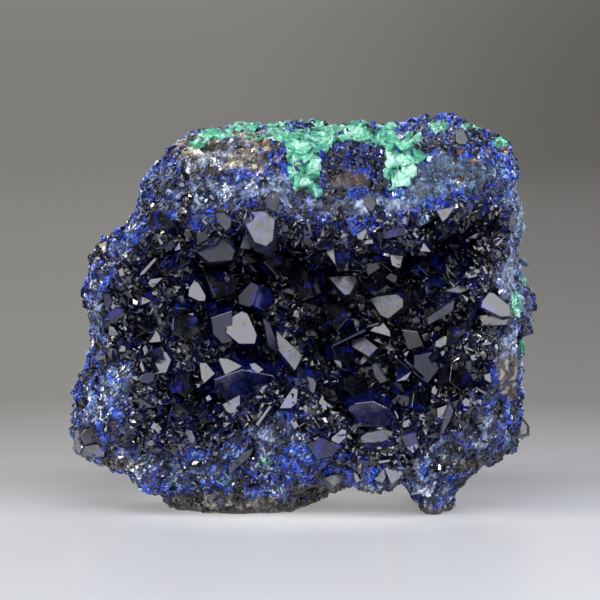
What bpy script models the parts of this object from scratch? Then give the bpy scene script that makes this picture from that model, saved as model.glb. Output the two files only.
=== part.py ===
"""Azurite specimen: a lump of iron-stained matrix with a crystal-lined hollow in its front.

The lump is one closed surface made of rings of points. The rings start at the back, grow to the
outline, turn over the rim and run down into the hollow. Crystals are convex solids whose end
faces are drawn on a front view. The crust that lines the hollow, and the malachite on the top
and the right side, are cut to sit a small gap clear of the lump.
"""

import math
import random

import bmesh
import bpy
from mathutils import Quaternion, Vector, noise

MM = 0.001

# Driving dimensions, in millimetres.
WIDTH = 93.0  # of the lump, left to right
BACK_Y = 26.0  # furthest point of the back
OUTLINE_Y = -5.0  # depth at which the lump is widest
LIP_Y = -23.5  # front edge of the hollow
HOLLOW_FLOOR_Y = -4.5  # deepest point of the hollow
CRUST_THICKNESS = 2.2
MALACHITE_THICKNESS = 1.2
CLEARANCE = 0.3  # gap between neighbouring solids
CUTS = (CLEARANCE, 0.08, 0.0)  # the same, then less where the lump is too sharp to be grown by it
BIG_LUMP = 3.6
SMALL_LUMP = 2.4
LEDGE = 1.4
PIT = 1.6
AT_OUTLINE = 0.7  # share of the relief that is held back where the lump is widest
FINE_GRID = 0.9  # size of the grid that the lump is carved on before it is faceted
LUMP_FACES = 2570
PAD_REACH = 3.0  # the underside below this height is drawn down towards the pads
PAD_DROP = 1.3  # and by this much at the lowest points, before the pads are cut flat

# Where the underside stands clear of the ground: the corners of each gap's front end, across and
# up in mm, and of its back end. A gap runs from the front of the lump to its back.
GAP_ENDS = (-40.0, 40.0)
GAPS = (
    (
        ((6.0, -2.0), (11.0, 4.3), (19.0, 4.3), (24.5, -2.0)),
        ((2.0, -2.0), (6.0, 7.0), (21.0, 7.5), (27.0, -2.0)),
    ),
    (
        ((-60.0, 9.5), (-40.0, 8.5), (-25.5, -2.0), (-60.0, -2.0)),
        ((-60.0, 16.0), (-38.0, 13.0), (-22.0, -2.0), (-60.0, -2.0)),
    ),
    (
        ((60.0, 12.5), (38.5, 9.5), (29.5, -2.0), (60.0, -2.0)),
        ((60.0, 16.0), (38.0, 13.0), (30.5, -2.0), (60.0, -2.0)),
    ),
)

# The front view is a drawing on a sheet. Its outline is SHEET_WIDTH units wide, SHEET_MIDDLE is
# the unit across that lies over the middle of the lump, and SHEET_FLOOR the unit down at its foot.
SHEET_WIDTH = 464.0
SHEET_MIDDLE = 304.0
SHEET_FLOOR = 514.0
UNIT = WIDTH / SHEET_WIDTH  # millimetres for one unit of the sheet

# The view is drawn in perspective, on an upright plane at SHEET_Y, from an eye in front of it.
SHEET_Y = -12.0
EYE = Vector((0.0, -750.0, 105.0))

CENTRE = Vector((1.0, 0.0, 39.0))  # the axis that the rings turn about

# The outline on the sheet, clockwise from the upper left.
OUTLINE = (
    (172, 143), (181, 136), (195, 132), (219, 132), (244, 133), (268, 128), (286, 126), (314, 127),
    (336, 126), (366, 127), (384, 129), (403, 130), (412, 124), (427, 116), (446, 116), (467, 122),
    (486, 128), (507, 140), (516, 151), (518, 170), (513, 190), (514, 222), (521, 253), (519, 266),
    (522, 281), (527, 292), (529, 305), (528, 315), (518, 329), (517, 342), (521, 356), (521, 385),
    (518, 404), (523, 422), (520, 447), (499, 463), (482, 470), (466, 480), (455, 492), (449, 499),
    (448, 511), (428, 511), (415, 497), (402, 490), (381, 486), (354, 487), (329, 492), (311, 500),
    (297, 508), (276, 512), (231, 514), (207, 510), (182, 512), (163, 499), (138, 486), (115, 475),
    (104, 467), (96, 459), (76, 453), (72, 431), (75, 407), (77, 385), (86, 367), (93, 346),
    (89, 320), (88, 297), (93, 273), (92, 250), (106, 240), (132, 223), (140, 201), (145, 180),
    (162, 163), (170, 153),
)

# The edge of the hollow on the sheet, clockwise from the left.
HOLLOW_EDGE = (
    (121, 265), (133, 246), (145, 232), (174, 228), (193, 233), (212, 220), (230, 211), (256, 213),
    (285, 220), (315, 226), (345, 232), (358, 241), (407, 236), (419, 211), (450, 208), (460, 202),
    (485, 204), (509, 211), (509, 236), (498, 266), (495, 289), (510, 312), (503, 334), (493, 350),
    (491, 372), (486, 396), (473, 415), (462, 430), (450, 425), (437, 440), (421, 450), (410, 468),
    (389, 465), (360, 470), (345, 448), (321, 438), (307, 441), (303, 425), (294, 410), (279, 410),
    (255, 425), (235, 431), (220, 446), (205, 450), (177, 450), (139, 452), (126, 435), (127, 400),
    (127, 385), (138, 370), (123, 354), (108, 352), (107, 340), (109, 310), (112, 290),
)

FLAT_WITHIN = math.radians(0.1)  # neighbouring triangles this close to one plane are one face
SAME_PLACE = 0.005  # corners this close, in mm, are one corner
SAME_PLACE_IN_SKIN = 0.04  # the same, for the malachite
WIDEST_STEP = math.radians(5.5)  # widest angle between two neighbouring points of a ring

# Rings from the back to the outline: how far from the widest depth (0) to the back (1), and what
# share of the outline they reach.
BACK_RINGS = (
    (1.0, 0.3), (0.97, 0.48), (0.9, 0.66), (0.8, 0.8),
    (0.67, 0.89), (0.5, 0.95), (0.3, 0.99), (0.13, 1.0),
)
RIM_TURN = (0.98, 0.88, 0.7, 0.42, 0.15)  # from the outline (1) over the rim to the hollow's edge (0)
# Rings of the hollow: share of its edge, and share of its depth.
HOLLOW_RINGS = ((1.0, 0.0), (0.965, 0.2), (0.88, 0.46), (0.74, 0.7), (0.52, 0.87), (0.26, 0.98))

# Broken faces: the direction they face, and how far they lie from the middle of the lump, in mm.
MIDDLE = Vector((0.0, 0.0, 38.0))
BREAKS = (
    ((0.25, 0.95, 0.20), 24.0),
    ((-0.55, 0.82, 0.15), 30.0),
    ((0.75, 0.62, -0.20), 34.0),
    ((0.10, 0.60, 0.80), 36.0),
    ((-0.65, 0.45, 0.62), 38.0),
    ((0.62, 0.35, 0.70), 43.5),
    ((-0.80, 0.55, -0.25), 36.5),
    ((-0.05, 0.88, -0.48), 29.5),
)

# Directions that the crystals' end faces look in.
LEANS = {
    "up": (0.00, -0.88, 0.47),
    "up_left": (-0.28, -0.85, 0.44),
    "up_right": (0.25, -0.86, 0.44),
    "left": (-0.50, -0.86, 0.06),
    "right": (0.45, -0.88, 0.12),
    "front": (0.04, -0.99, 0.14),
    "down": (0.12, -0.92, -0.36),
}

# Crystals of the hollow: the way the end face looks, its depth in mm, and its corners on the sheet.
VUG_CRYSTALS = (
    # under the lintel, left of the middle
    ("up", -21.5, ((216, 213), (223, 212), (232, 219), (230, 227), (226, 231), (217, 220))),
    ("right", -21.0, ((234, 221), (239, 225), (236, 233), (232, 235), (228, 232))),
    ("up", -21.5, (
        (257, 202), (266, 212), (275, 219), (273, 240), (266, 246), (255, 242), (244, 222), (247, 216),
    )),
    ("down", -20.0, ((245, 233), (249, 238), (252, 244), (250, 249), (240, 248), (243, 238))),
    ("front", -19.5, ((208, 233), (222, 234), (235, 250), (232, 260), (209, 262), (193, 249), (199, 241))),
    ("up_right", -19.0, ((270, 250), (288, 256), (292, 268), (276, 274), (264, 262))),
    ("right", -17.5, ((288, 264), (306, 270), (314, 296), (302, 300), (290, 284))),
    # left part
    ("up", -18.5, ((195, 279), (200, 285), (206, 296), (205, 301), (199, 301), (188, 296), (189, 288))),
    ("left", -18.5, ((164, 277), (157, 283), (152, 288), (148, 283), (150, 279))),
    ("up_left", -20.0, ((138, 275), (144, 278), (150, 286), (145, 287), (137, 280))),
    ("left", -20.5, ((122, 298), (129, 291), (140, 295), (152, 301), (142, 304), (130, 310))),
    ("right", -21.5, ((147, 225), (151, 214), (157, 211), (166, 218), (169, 225), (160, 229))),
    ("up_left", -19.5, ((176, 247), (188, 251), (190, 262), (178, 268), (168, 258))),
    ("left", -22.0, ((108, 313), (115, 308), (124, 309), (122, 315), (113, 324), (109, 321))),
    ("up_left", -21.0, ((115, 344), (121, 345), (126, 347), (125, 352), (118, 352))),
    ("up_left", -19.0, ((148, 339), (151, 331), (156, 330), (160, 336), (161, 342), (149, 343))),
    ("left", -18.5, ((152, 350), (161, 347), (171, 360), (166, 373), (153, 375), (151, 362))),
    ("up_left", -18.0, ((176, 297), (184, 294), (185, 304), (180, 303))),
    ("down", -18.0, ((174, 313), (196, 316), (202, 330), (186, 342), (172, 330))),
    ("right", -19.0, ((127, 324), (142, 320), (147, 331), (134, 338))),
    ("down", -18.5, ((176, 375), (190, 372), (196, 388), (186, 398), (174, 390))),
    ("front", -20.0, ((127, 402), (140, 399), (154, 408), (142, 409), (131, 406))),
    ("up_left", -21.0, ((127, 418), (135, 421), (139, 425), (133, 429), (127, 424))),
    ("down", -19.5, ((172, 404), (192, 402), (196, 414), (182, 424), (171, 416))),
    # large ones left of the middle
    ("up", -16.5, ((242, 311), (248, 314), (257, 335), (255, 344), (239, 344), (226, 333), (228, 319))),
    ("left", -16.0, ((211, 318), (232, 311), (226, 333), (232, 342), (222, 344), (213, 334))),
    ("up_right", -15.0, ((276, 330), (286, 340), (300, 353), (302, 358), (295, 371), (279, 351))),
    ("down", -14.5, ((263, 319), (270, 324), (276, 340), (280, 356), (268, 346))),
    ("up", -17.0, ((219, 358), (228, 359), (242, 366), (232, 376), (225, 376), (219, 362))),
    ("left", -17.5, ((199, 363), (206, 363), (211, 373), (215, 374), (204, 384), (201, 379))),
    ("down", -16.5, ((214, 380), (242, 370), (272, 376), (287, 388), (268, 404), (240, 405), (216, 396))),
    ("front", -15.5, ((238, 296), (251, 282), (258, 285), (262, 297), (250, 307), (239, 304))),
    ("right", -15.0, ((259, 284), (270, 290), (276, 302), (265, 311), (255, 306))),
    ("down", -16.0, ((206, 276), (226, 270), (240, 280), (234, 294), (214, 298))),
    # middle and right of it
    ("up", -13.5, ((370, 299), (378, 296), (397, 294), (403, 299), (403, 307), (388, 319), (380, 315))),
    ("up_right", -13.5, ((376, 324), (383, 322), (390, 331), (391, 337), (370, 331))),
    ("up_left", -13.5, ((352, 340), (364, 337), (378, 348), (369, 357), (364, 354), (352, 347))),
    ("down", -13.0, ((332, 347), (350, 347), (362, 356), (348, 364), (336, 358))),
    ("left", -13.0, ((333, 359), (339, 357), (342, 365), (341, 369), (335, 363))),
    ("up", -14.0, ((372, 366), (376, 363), (381, 373), (388, 381), (381, 384), (375, 377))),
    ("right", -13.0, ((326, 306), (342, 302), (348, 318), (338, 330), (327, 322))),
    ("right", -13.5, ((296, 367), (315, 371), (322, 377), (314, 386), (301, 385))),
    ("down", -13.0, ((350, 376), (366, 378), (370, 392), (358, 400), (346, 390))),
    ("up_right", -16.5, ((402, 330), (418, 332), (424, 346), (408, 350))),
    ("down", -16.0, ((414, 356), (432, 352), (440, 368), (428, 384), (414, 374))),
    # right part
    ("up", -20.0, ((489, 292), (494, 293), (510, 306), (511, 316), (501, 317), (481, 307), (482, 301))),
    ("down", -19.5, ((477, 316), (492, 314), (510, 318), (506, 325), (492, 326), (484, 325))),
    ("up_left", -18.0, ((469, 297), (474, 292), (484, 293), (479, 300), (474, 303))),
    ("front", -17.0, ((427, 318), (436, 313), (447, 304), (455, 300), (453, 311), (443, 317), (429, 325))),
    ("right", -17.5, ((448, 328), (466, 322), (472, 340), (458, 352), (446, 344))),
    ("up", -18.5, ((484, 375), (491, 373), (492, 384), (485, 380))),
    ("down", -17.5, ((452, 364), (470, 362), (476, 380), (462, 392), (450, 382))),
    ("up_left", -17.5, ((462, 402), (466, 398), (471, 401), (470, 407), (464, 407))),
    # upper right
    ("up_left", -19.0, ((436, 210), (443, 213), (450, 207), (455, 206), (447, 218), (442, 222))),
    ("up_right", -19.0, ((471, 211), (476, 208), (482, 217), (478, 219))),
    ("up", -17.5, ((467, 226), (472, 221), (479, 231), (475, 236))),
    ("up", -16.0, ((445, 241), (453, 240), (462, 246), (452, 249))),
    ("down", -16.0, ((420, 252), (440, 256), (446, 270), (428, 276), (418, 266))),
    ("up_right", -16.5, ((470, 266), (480, 268), (471, 275), (461, 279))),
    ("right", -19.0, ((486, 226), (498, 222), (502, 240), (490, 248))),
    # under the lintel, right of the middle
    ("up_left", -20.5, ((316, 226), (324, 232), (332, 237), (336, 266), (321, 245), (316, 234))),
    ("right", -19.5, ((333, 238), (344, 239), (353, 236), (351, 256), (345, 263), (337, 262))),
    ("up", -18.5, ((336, 266), (344, 263), (341, 271), (337, 271))),
    ("up_right", -19.5, ((357, 234), (366, 228), (367, 232), (363, 240), (358, 239))),
    ("up", -18.0, ((329, 277), (355, 275), (357, 281), (350, 294), (345, 295), (337, 287))),
    ("down", -15.5, ((384, 252), (398, 250), (402, 264), (392, 272), (382, 264))),
    ("right", -15.5, ((362, 256), (376, 254), (380, 268), (368, 276))),
    # lower left and lower middle
    ("front", -19.0, ((222, 405), (231, 401), (240, 395), (240, 412), (239, 420), (226, 412))),
    ("up", -18.5, ((254, 400), (256, 396), (267, 397), (272, 402), (270, 405), (258, 403))),
    ("left", -19.0, ((293, 388), (298, 390), (297, 403), (291, 409), (279, 409), (287, 396))),
    ("right", -20.0, ((198, 416), (207, 409), (221, 420), (213, 428), (202, 429))),
    ("front", -20.5, ((206, 436), (221, 427), (224, 433), (216, 442), (211, 441))),
    ("up", -16.5, ((325, 402), (329, 400), (336, 405), (336, 409), (328, 408))),
    ("up_right", -18.5, ((360, 435), (385, 430), (399, 434), (399, 439), (374, 458), (362, 446))),
    ("down", -17.5, ((348, 409), (356, 404), (373, 402), (390, 410), (401, 425), (380, 428), (358, 428))),
    ("up_left", -18.0, ((401, 424), (410, 419), (413, 426), (404, 429))),
    ("front", -19.5, ((402, 437), (416, 433), (420, 447), (409, 451), (405, 447))),
    ("left", -18.5, ((437, 409), (448, 405), (444, 415), (438, 420))),
    ("front", -18.5, ((450, 404), (454, 412), (450, 422), (443, 434), (441, 436), (444, 420))),
    ("down", -18.0, ((414, 394), (430, 390), (436, 406), (424, 416), (412, 408))),
    ("right", -16.5, ((318, 388), (334, 390), (340, 404), (328, 398), (318, 400))),
)

# Crystals grown into the lump's own rim: the same, but part of the lump.
RIM_CRYSTALS = (
    ("up_left", -15.0, ((85, 430), (91, 427), (95, 432), (94, 443), (85, 445), (80, 435))),
    ("left", -14.5, ((84, 447), (96, 445), (104, 452), (103, 458), (93, 459), (80, 456))),
    ("left", -11.0, ((74, 431), (82, 428), (84, 447), (80, 456), (73, 449))),
    ("up_right", -11.0, ((508, 432), (516, 418), (523, 420), (528, 427), (528, 434), (515, 438))),
    ("right", -10.5, ((507, 421), (516, 415), (516, 420), (508, 432))),
    ("front", -18.0, ((243, 453), (252, 450), (249, 458), (237, 466), (230, 475), (229, 468))),
    ("up", -21.5, ((307, 445), (321, 439), (341, 447), (332, 457), (318, 460))),
    ("up_right", -19.5, ((325, 479), (348, 471), (346, 479), (333, 488))),
    ("left", -20.5, ((372, 475), (378, 468), (384, 471), (386, 479), (383, 484), (374, 482))),
    ("up_right", -20.5, ((384, 468), (389, 465), (404, 474), (400, 480), (392, 486))),
    ("left", -20.5, ((411, 468), (416, 459), (421, 460), (414, 470))),
    ("up_left", -23.5, ((391, 222), (402, 224), (400, 236), (391, 236))),
    ("up", -23.0, ((399, 219), (418, 218), (417, 236), (399, 236))),
    ("up_left", -18.5, ((104, 293), (110, 294), (112, 301), (109, 309), (104, 304))),
    ("left", -17.0, ((96, 352), (104, 353), (106, 359), (97, 361))),
    ("right", -13.5, ((507, 221), (512, 213), (517, 223), (509, 228))),
    ("up_left", -16.0, ((98, 244), (107, 241), (106, 252), (97, 258))),
    ("up", -17.5, ((180, 212), (186, 205), (192, 212), (186, 222))),
)

LINING_SHARES = (0.97, 0.88, 0.7, 0.45, 0.2)  # of the hollow's edge, for the rings of its lining
ROOT_DEPTH = 1.4  # how far a crystal's root goes into what it grows on, in mm
SHOULDER_FLARE = 1.16
ROOT_FLARE = 1.3
SHOULDER_DEPTH = 0.3  # share of the crystal's length
SHOULDER_AREA = 12.0  # end faces of at least this area, in mm2, get a shoulder

FILLER_CRYSTALS = 24
FILLER_SPACING = 5.6
BLADE_SIDES = 4
FILLER_SEED = 5

RIM_BLADES = 22  # crystals scattered over the lower two thirds of the rim
RIM_BLADE_SPREAD = (math.radians(150), math.radians(380))
RIM_BLADE_SEED = 11

# Malachite on the top, drawn on the sheet.
MALACHITE_TOP = (
    (176, 142), (190, 128), (204, 121), (235, 117), (262, 112), (286, 108), (330, 108),
    (366, 110), (400, 116), (428, 137), (432, 156), (419, 161), (413, 175), (404, 180),
    (395, 190), (389, 190), (385, 172), (391, 149), (381, 145), (361, 137), (338, 138),
    (322, 155), (319, 176), (323, 192), (317, 199), (309, 198), (300, 190), (294, 193),
    (289, 176), (286, 152), (282, 135), (251, 135), (234, 132), (205, 136), (193, 145),
)
TOP_DEPTH = (-24.0, 4.0)
RAGGED_BACK = 6.0  # how unevenly the malachite ends towards the back
BACK_SHARE = 0.8  # how wide its back end is, as a share of its front end

# Malachite on the right side, drawn from the right: depth and height in mm.
UPPER_SIDE = ((-12, 44), (-9, 47), (-4, 46.5), (1, 48.5), (5, 46), (3, 43), (-2, 41.5), (-7, 43))
LOWER_SIDE = ((-14, 37), (-9, 38.5), (-4, 36), (-1, 33), (-4, 30.5), (-9, 31.5), (-13, 34))
SIDE_REACH = (60.0, 34.0)

COLOURS = {
    "azurite": (0.02, 0.03, 0.22, 1.0),
    "deep azurite": (0.008, 0.012, 0.08, 1.0),
    "malachite": (0.08, 0.45, 0.25, 1.0),
}


def on_sheet(across, down):
    """The point of the upright drawing plane that a sheet coordinate stands for, in mm."""
    return Vector(((across - SHEET_MIDDLE) * UNIT, SHEET_Y, (SHEET_FLOOR - down) * UNIT))


def at_depth(drawn, y):
    """The point at depth y that the eye sees at this point of the drawing plane."""
    sight = drawn - EYE
    return EYE + sight * ((y - EYE.y) / sight.y)


def on_plane(drawn, point, normal):
    """The point of a plane that the eye sees at this point of the drawing plane."""
    sight = drawn - EYE
    return EYE + sight * ((point - EYE).dot(normal) / sight.dot(normal))


def reach(corners, angle):
    """How far from CENTRE a ray at this angle last crosses a closed outline in the XZ plane."""
    ray = (math.cos(angle), math.sin(angle))
    found = 0.0
    for first, second in zip(corners, corners[1:] + corners[:1]):
        a = (first.x - CENTRE.x, first.z - CENTRE.z)
        b = (second.x - CENTRE.x, second.z - CENTRE.z)
        step = (b[0] - a[0], b[1] - a[1])
        cross = ray[0] * step[1] - ray[1] * step[0]
        if abs(cross) < 1e-9:
            continue
        along = (a[0] * step[1] - a[1] * step[0]) / cross
        share = (a[0] * ray[1] - a[1] * ray[0]) / cross
        if along > 0.0 and -1e-6 <= share <= 1.0 + 1e-6:
            found = max(found, along)
    return found


def angle_of(point):
    return math.atan2(point.z - CENTRE.z, point.x - CENTRE.x)


def ring_angles(corners):
    """The angles of the outline's corners, with more between those that lie far apart."""
    angles = sorted(angle_of(corner) for corner in corners)
    filled = []
    for first, second in zip(angles, angles[1:] + [angles[0] + 2.0 * math.pi]):
        parts = math.ceil((second - first) / WIDEST_STEP)
        filled += [first + (second - first) * n / parts for n in range(parts)]
    return filled


def smooth(low, high, value):
    share = min(max((value - low) / (high - low), 0.0), 1.0)
    return share * share * (3.0 - 2.0 * share)


OUTLINE_CORNERS = [at_depth(on_sheet(*corner), OUTLINE_Y) for corner in OUTLINE]
EDGE_CORNERS = [at_depth(on_sheet(*corner), LIP_Y) for corner in HOLLOW_EDGE]
ANGLES = ring_angles(OUTLINE_CORNERS)


def polar(angle, radius, y):
    return Vector((CENTRE.x + radius * math.cos(angle), y, CENTRE.z + radius * math.sin(angle)))


def hollow_depth(share):
    """The depth of the hollow's wall at a share of the way to its edge, in mm."""
    steps = HOLLOW_RINGS + ((0.0, 1.0),)
    for (outer, first), (inner, second) in zip(steps, steps[1:]):
        if share >= inner:
            part = (min(share, outer) - inner) / (outer - inner)
            depth = second + (first - second) * part
            return LIP_Y + depth * (HOLLOW_FLOOR_Y - LIP_Y)
    return HOLLOW_FLOOR_Y


def wall_y(x, z):
    """The depth of the hollow's wall in front of a point, with the shallower shelf on the left."""
    point = Vector((x, 0.0, z))
    angle = angle_of(point)
    radius = math.hypot(x - CENTRE.x, z - CENTRE.z)
    share = radius / reach(EDGE_CORNERS, angle)
    shelf = 5.0 * smooth(14.0, 30.0, -x) * smooth(1.0, 0.8, share)
    lumps = 1.6 * noise.noise(Vector((x, 5.0, z)) / 9.0)
    return hollow_depth(share) - shelf + lumps * smooth(1.0, 0.85, share)


def relief(point):
    """How far the lump's surface stands out at a point: lumps of two sizes, ledges and pits, in mm."""
    lumps = BIG_LUMP * noise.noise(point / 11.0)
    lumps += SMALL_LUMP * noise.noise(point / 4.5 + Vector((9.0, 2.0, 4.0)))
    tilted = point.z / 6.5 + point.x / 30.0 + 1.5 * noise.noise(point / 20.0)
    ledge = LEDGE * (smooth(0.0, 0.25, tilted % 1.0) - tilted % 1.0)
    pit = PIT * smooth(0.25, 0.6, noise.noise(point / 6.0 + Vector((1.0, 7.0, 5.0))))
    return lumps + ledge - pit


def broken(point):
    """A point brought in to the nearest broken face that it lies beyond."""
    for facing, distance in BREAKS:
        out = (point - MIDDLE).dot(Vector(facing).normalized())
        if out > distance:
            point = MIDDLE + (point - MIDDLE) * (distance / out)
    return point


def settled(point):
    """A point of the underside drawn down, so that cutting the lump flat leaves broad pads."""
    return Vector((point.x, point.y, point.z - PAD_DROP * smooth(PAD_REACH, 0.0, point.z)))


def lump_rings():
    """The rings of the lump's surface, from the back to the deepest part of the hollow."""
    rings = []
    for back, share in BACK_RINGS:
        y = OUTLINE_Y + back * (BACK_Y - OUTLINE_Y)
        ring = []
        for angle in ANGLES:
            full = share + (1.0 - share) * 0.75 * smooth(0.2, 0.95, -math.sin(angle)) * (back < 0.8)
            ring.append(broken(polar(angle, full * reach(OUTLINE_CORNERS, angle), y)))
        rings.append(ring)
    outline = [polar(angle, reach(OUTLINE_CORNERS, angle), OUTLINE_Y) for angle in ANGLES]
    rings.append(outline)
    for turn in RIM_TURN:
        ring = []
        for angle, widest in zip(ANGLES, outline):
            point = polar(angle, reach(EDGE_CORNERS, angle), LIP_Y).lerp(widest, turn)
            point.y = OUTLINE_Y + (LIP_Y - OUTLINE_Y) * math.sqrt(1.0 - turn * turn)
            ring.append(point)
        rings.append(ring)
    for share, _ in HOLLOW_RINGS:
        ring = []
        for angle in ANGLES:
            point = polar(angle, share * reach(EDGE_CORNERS, angle), 0.0)
            point.y = wall_y(point.x, point.z)
            ring.append(point)
        rings.append(ring)
    return rings


def carve(lump):
    """Gives the lump its relief on a fine grid, then facets it."""
    grid = lump.modifiers.new("Grid", "REMESH")
    grid.mode = "VOXEL"
    grid.voxel_size = FINE_GRID * MM
    lump.data = finished(lump)
    lump.modifiers.clear()
    for vert in lump.data.vertices:
        point = vert.co / MM
        steady = 1.0 - AT_OUTLINE * smooth(9.0, 1.0, abs(point.y - OUTLINE_Y))
        moved = point + vert.normal * relief(point) * steady
        vert.co = settled(moved) * MM
    facet = lump.modifiers.new("Facet", "DECIMATE")
    facet.ratio = LUMP_FACES / len(lump.data.polygons)


def surface_of(name, rings, first_pole, last_pole):
    """A closed surface through the rings, with a point at each end."""
    mesh = bpy.data.meshes.new(name)
    shape = bmesh.new()
    loops = [[shape.verts.new(point * MM) for point in ring] for ring in rings]
    for ring, following in zip(loops, loops[1:]):
        for n, corner in enumerate(ring):
            after = (n + 1) % len(ring)
            shape.faces.new((corner, following[n], following[after], ring[after]))
    for ring, pole in ((loops[0], first_pole), (loops[-1], last_pole)):
        tip = shape.verts.new(pole * MM)
        for n, corner in enumerate(ring):
            shape.faces.new((corner, ring[(n + 1) % len(ring)], tip))
    bmesh.ops.triangulate(shape, faces=shape.faces[:])
    bmesh.ops.recalc_face_normals(shape, faces=shape.faces[:])
    shape.to_mesh(mesh)
    shape.free()
    made = bpy.data.objects.new(name, mesh)
    bpy.context.collection.objects.link(made)
    return made


def hull_of(name, points):
    """The convex solid around some points."""
    mesh = bpy.data.meshes.new(name)
    shape = bmesh.new()
    for point in points:
        shape.verts.new(point * MM)
    bmesh.ops.convex_hull(shape, input=shape.verts[:])
    loose = [vert for vert in shape.verts if not vert.link_faces]
    bmesh.ops.delete(shape, geom=loose, context="VERTS")
    bmesh.ops.recalc_face_normals(shape, faces=shape.faces[:])
    shape.to_mesh(mesh)
    shape.free()
    made = bpy.data.objects.new(name, mesh)
    bpy.context.collection.objects.link(made)
    return made


def face_area(corners):
    middle = sum(corners, Vector()) / len(corners)
    total = 0.0
    for first, second in zip(corners, corners[1:] + corners[:1]):
        total += (first - middle).cross(second - middle).length / 2.0
    return total


def crystal(name, lean, y, corners, root_y):
    """A crystal whose end face is drawn on the sheet, growing forward from depth root_y."""
    normal = Vector(LEANS[lean]).normalized()
    drawn = [on_sheet(*corner) for corner in corners]
    centre = at_depth(sum(drawn, Vector()) / len(drawn), y)
    face = [on_plane(point, centre, normal) for point in drawn]
    length = max(root_y + ROOT_DEPTH - y, 2.0)
    growth = (normal * -0.35 + Vector((0.0, 1.0, 0.0)) * 0.65).normalized()
    points = list(face)
    if face_area(face) >= SHOULDER_AREA:
        points += [centre + (p - centre) * SHOULDER_FLARE + growth * length * SHOULDER_DEPTH for p in face]
    points += [centre + (p - centre) * ROOT_FLARE + growth * length for p in face]
    return hull_of(name, points)


def facing_out(x, z):
    """The direction that the hollow's wall faces at a point."""
    step = 1.0
    across = (wall_y(x + step, z) - wall_y(x - step, z)) / (2.0 * step)
    upward = (wall_y(x, z + step) - wall_y(x, z - step)) / (2.0 * step)
    return Vector((across, -1.0, upward)).normalized()


def filler_places(taken):
    """Places on the wall of the hollow that lie clear of the crystals drawn on the sheet."""
    draw = random.Random(FILLER_SEED)
    places = []
    for _ in range(4000):
        angle = draw.uniform(-math.pi, math.pi)
        share = 0.93 * math.sqrt(draw.random())
        point = polar(angle, share * reach(EDGE_CORNERS, angle), 0.0)
        spots = taken + places
        if all(math.hypot(point.x - p.x, point.z - p.z) > FILLER_SPACING for p in spots):
            places.append(point)
        if len(places) == FILLER_CRYSTALS:
            break
    return places


def blade(name, foot, axis, width, length, draw):
    """A short blade with a chisel end, standing on a foot."""
    axis = (axis + Vector([draw.uniform(-0.45, 0.45) for _ in range(3)])).normalized()
    side = axis.orthogonal().normalized()
    side.rotate(Quaternion(axis, draw.uniform(0.0, math.pi)))
    across = axis.cross(side)
    thick = width * draw.uniform(0.45, 0.8)
    points = []
    for along, breadth, depth in ((0.0, 1.0, 1.0), (0.75, 0.92, 0.85), (1.0, 0.55, 0.05)):
        for turn in range(BLADE_SIDES):
            angle = (turn + 0.5) * 2.0 * math.pi / BLADE_SIDES
            offset = side * (width * breadth * math.cos(angle)) + across * (thick * depth * math.sin(angle))
            points.append(foot + axis * (length * along - ROOT_DEPTH * (along == 0.0)) + offset)
    return hull_of(name, points)


def filler_crystal(name, place, draw):
    """A blade standing out of the wall of the hollow."""
    foot = Vector((place.x, wall_y(place.x, place.z), place.z))
    size = draw.uniform(0.0, 1.0)
    return blade(name, foot, facing_out(place.x, place.z), 1.5 + 0.9 * size, 3.8 + 2.2 * size, draw)


def rim_blade(name, draw):
    """A blade standing out of the rim or the sides of the lump."""
    angle = draw.uniform(*RIM_BLADE_SPREAD)
    turn = draw.uniform(0.15, 0.95)
    foot = polar(angle, reach(EDGE_CORNERS, angle), LIP_Y)
    foot = foot.lerp(polar(angle, reach(OUTLINE_CORNERS, angle), OUTLINE_Y), turn)
    forward = math.sqrt(1.0 - turn * turn)
    foot.y = OUTLINE_Y + (LIP_Y - OUTLINE_Y) * forward
    axis = Vector((math.cos(angle) * turn, -forward, math.sin(angle) * turn))
    size = draw.uniform(0.0, 1.0)
    return blade(name, foot - axis * 0.6, axis, 1.2 + 0.8 * size, 2.0 + 1.2 * size, draw)


def hidden(helper):
    """A working object that is no part of the specimen."""
    helper.hide_render = True
    helper.display_type = "WIRE"
    return helper


def boolean(target, operation, other=None, group=None, solver="EXACT"):
    """Adds a Boolean to the target. What it takes is hidden from the render."""
    step = target.modifiers.new(operation.title(), "BOOLEAN")
    step.operation = operation
    step.solver = solver
    if group is not None:
        step.operand_type = "COLLECTION"
        step.collection = group
    else:
        step.object = other
    for cutter in group.objects if group is not None else (other,):
        hidden(cutter)


def cut_clear(target, lumps):
    """Cuts the lump out of the target, with its full gap first and with none last."""
    for lump in lumps:
        boolean(target, "DIFFERENCE", lump, solver="MANIFOLD")


def group_of(name, members):
    group = bpy.data.collections.new(name)
    group.hide_render = True
    bpy.context.scene.collection.children.link(group)
    for member in members:
        bpy.context.collection.objects.unlink(member)
        group.objects.link(member)
    return group


def finished(target, grown=0.0, same_place=SAME_PLACE):
    """The target's largest body with its modifiers applied, and its surface moved out."""
    bpy.context.view_layer.update()
    graph = bpy.context.evaluated_depsgraph_get()
    mesh = bpy.data.meshes.new_from_object(target.evaluated_get(graph))
    shape = bmesh.new()
    shape.from_mesh(mesh)
    bmesh.ops.remove_doubles(shape, verts=shape.verts[:], dist=same_place * MM)
    bmesh.ops.dissolve_limit(shape, angle_limit=FLAT_WITHIN, verts=shape.verts[:], edges=shape.edges[:])
    bmesh.ops.triangulate(shape, faces=shape.faces[:])
    keep_largest_body(shape)
    shape.normal_update()
    for vert in shape.verts:
        vert.co += vert.normal * grown * MM
    shape.to_mesh(mesh)
    shape.free()
    return mesh


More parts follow.
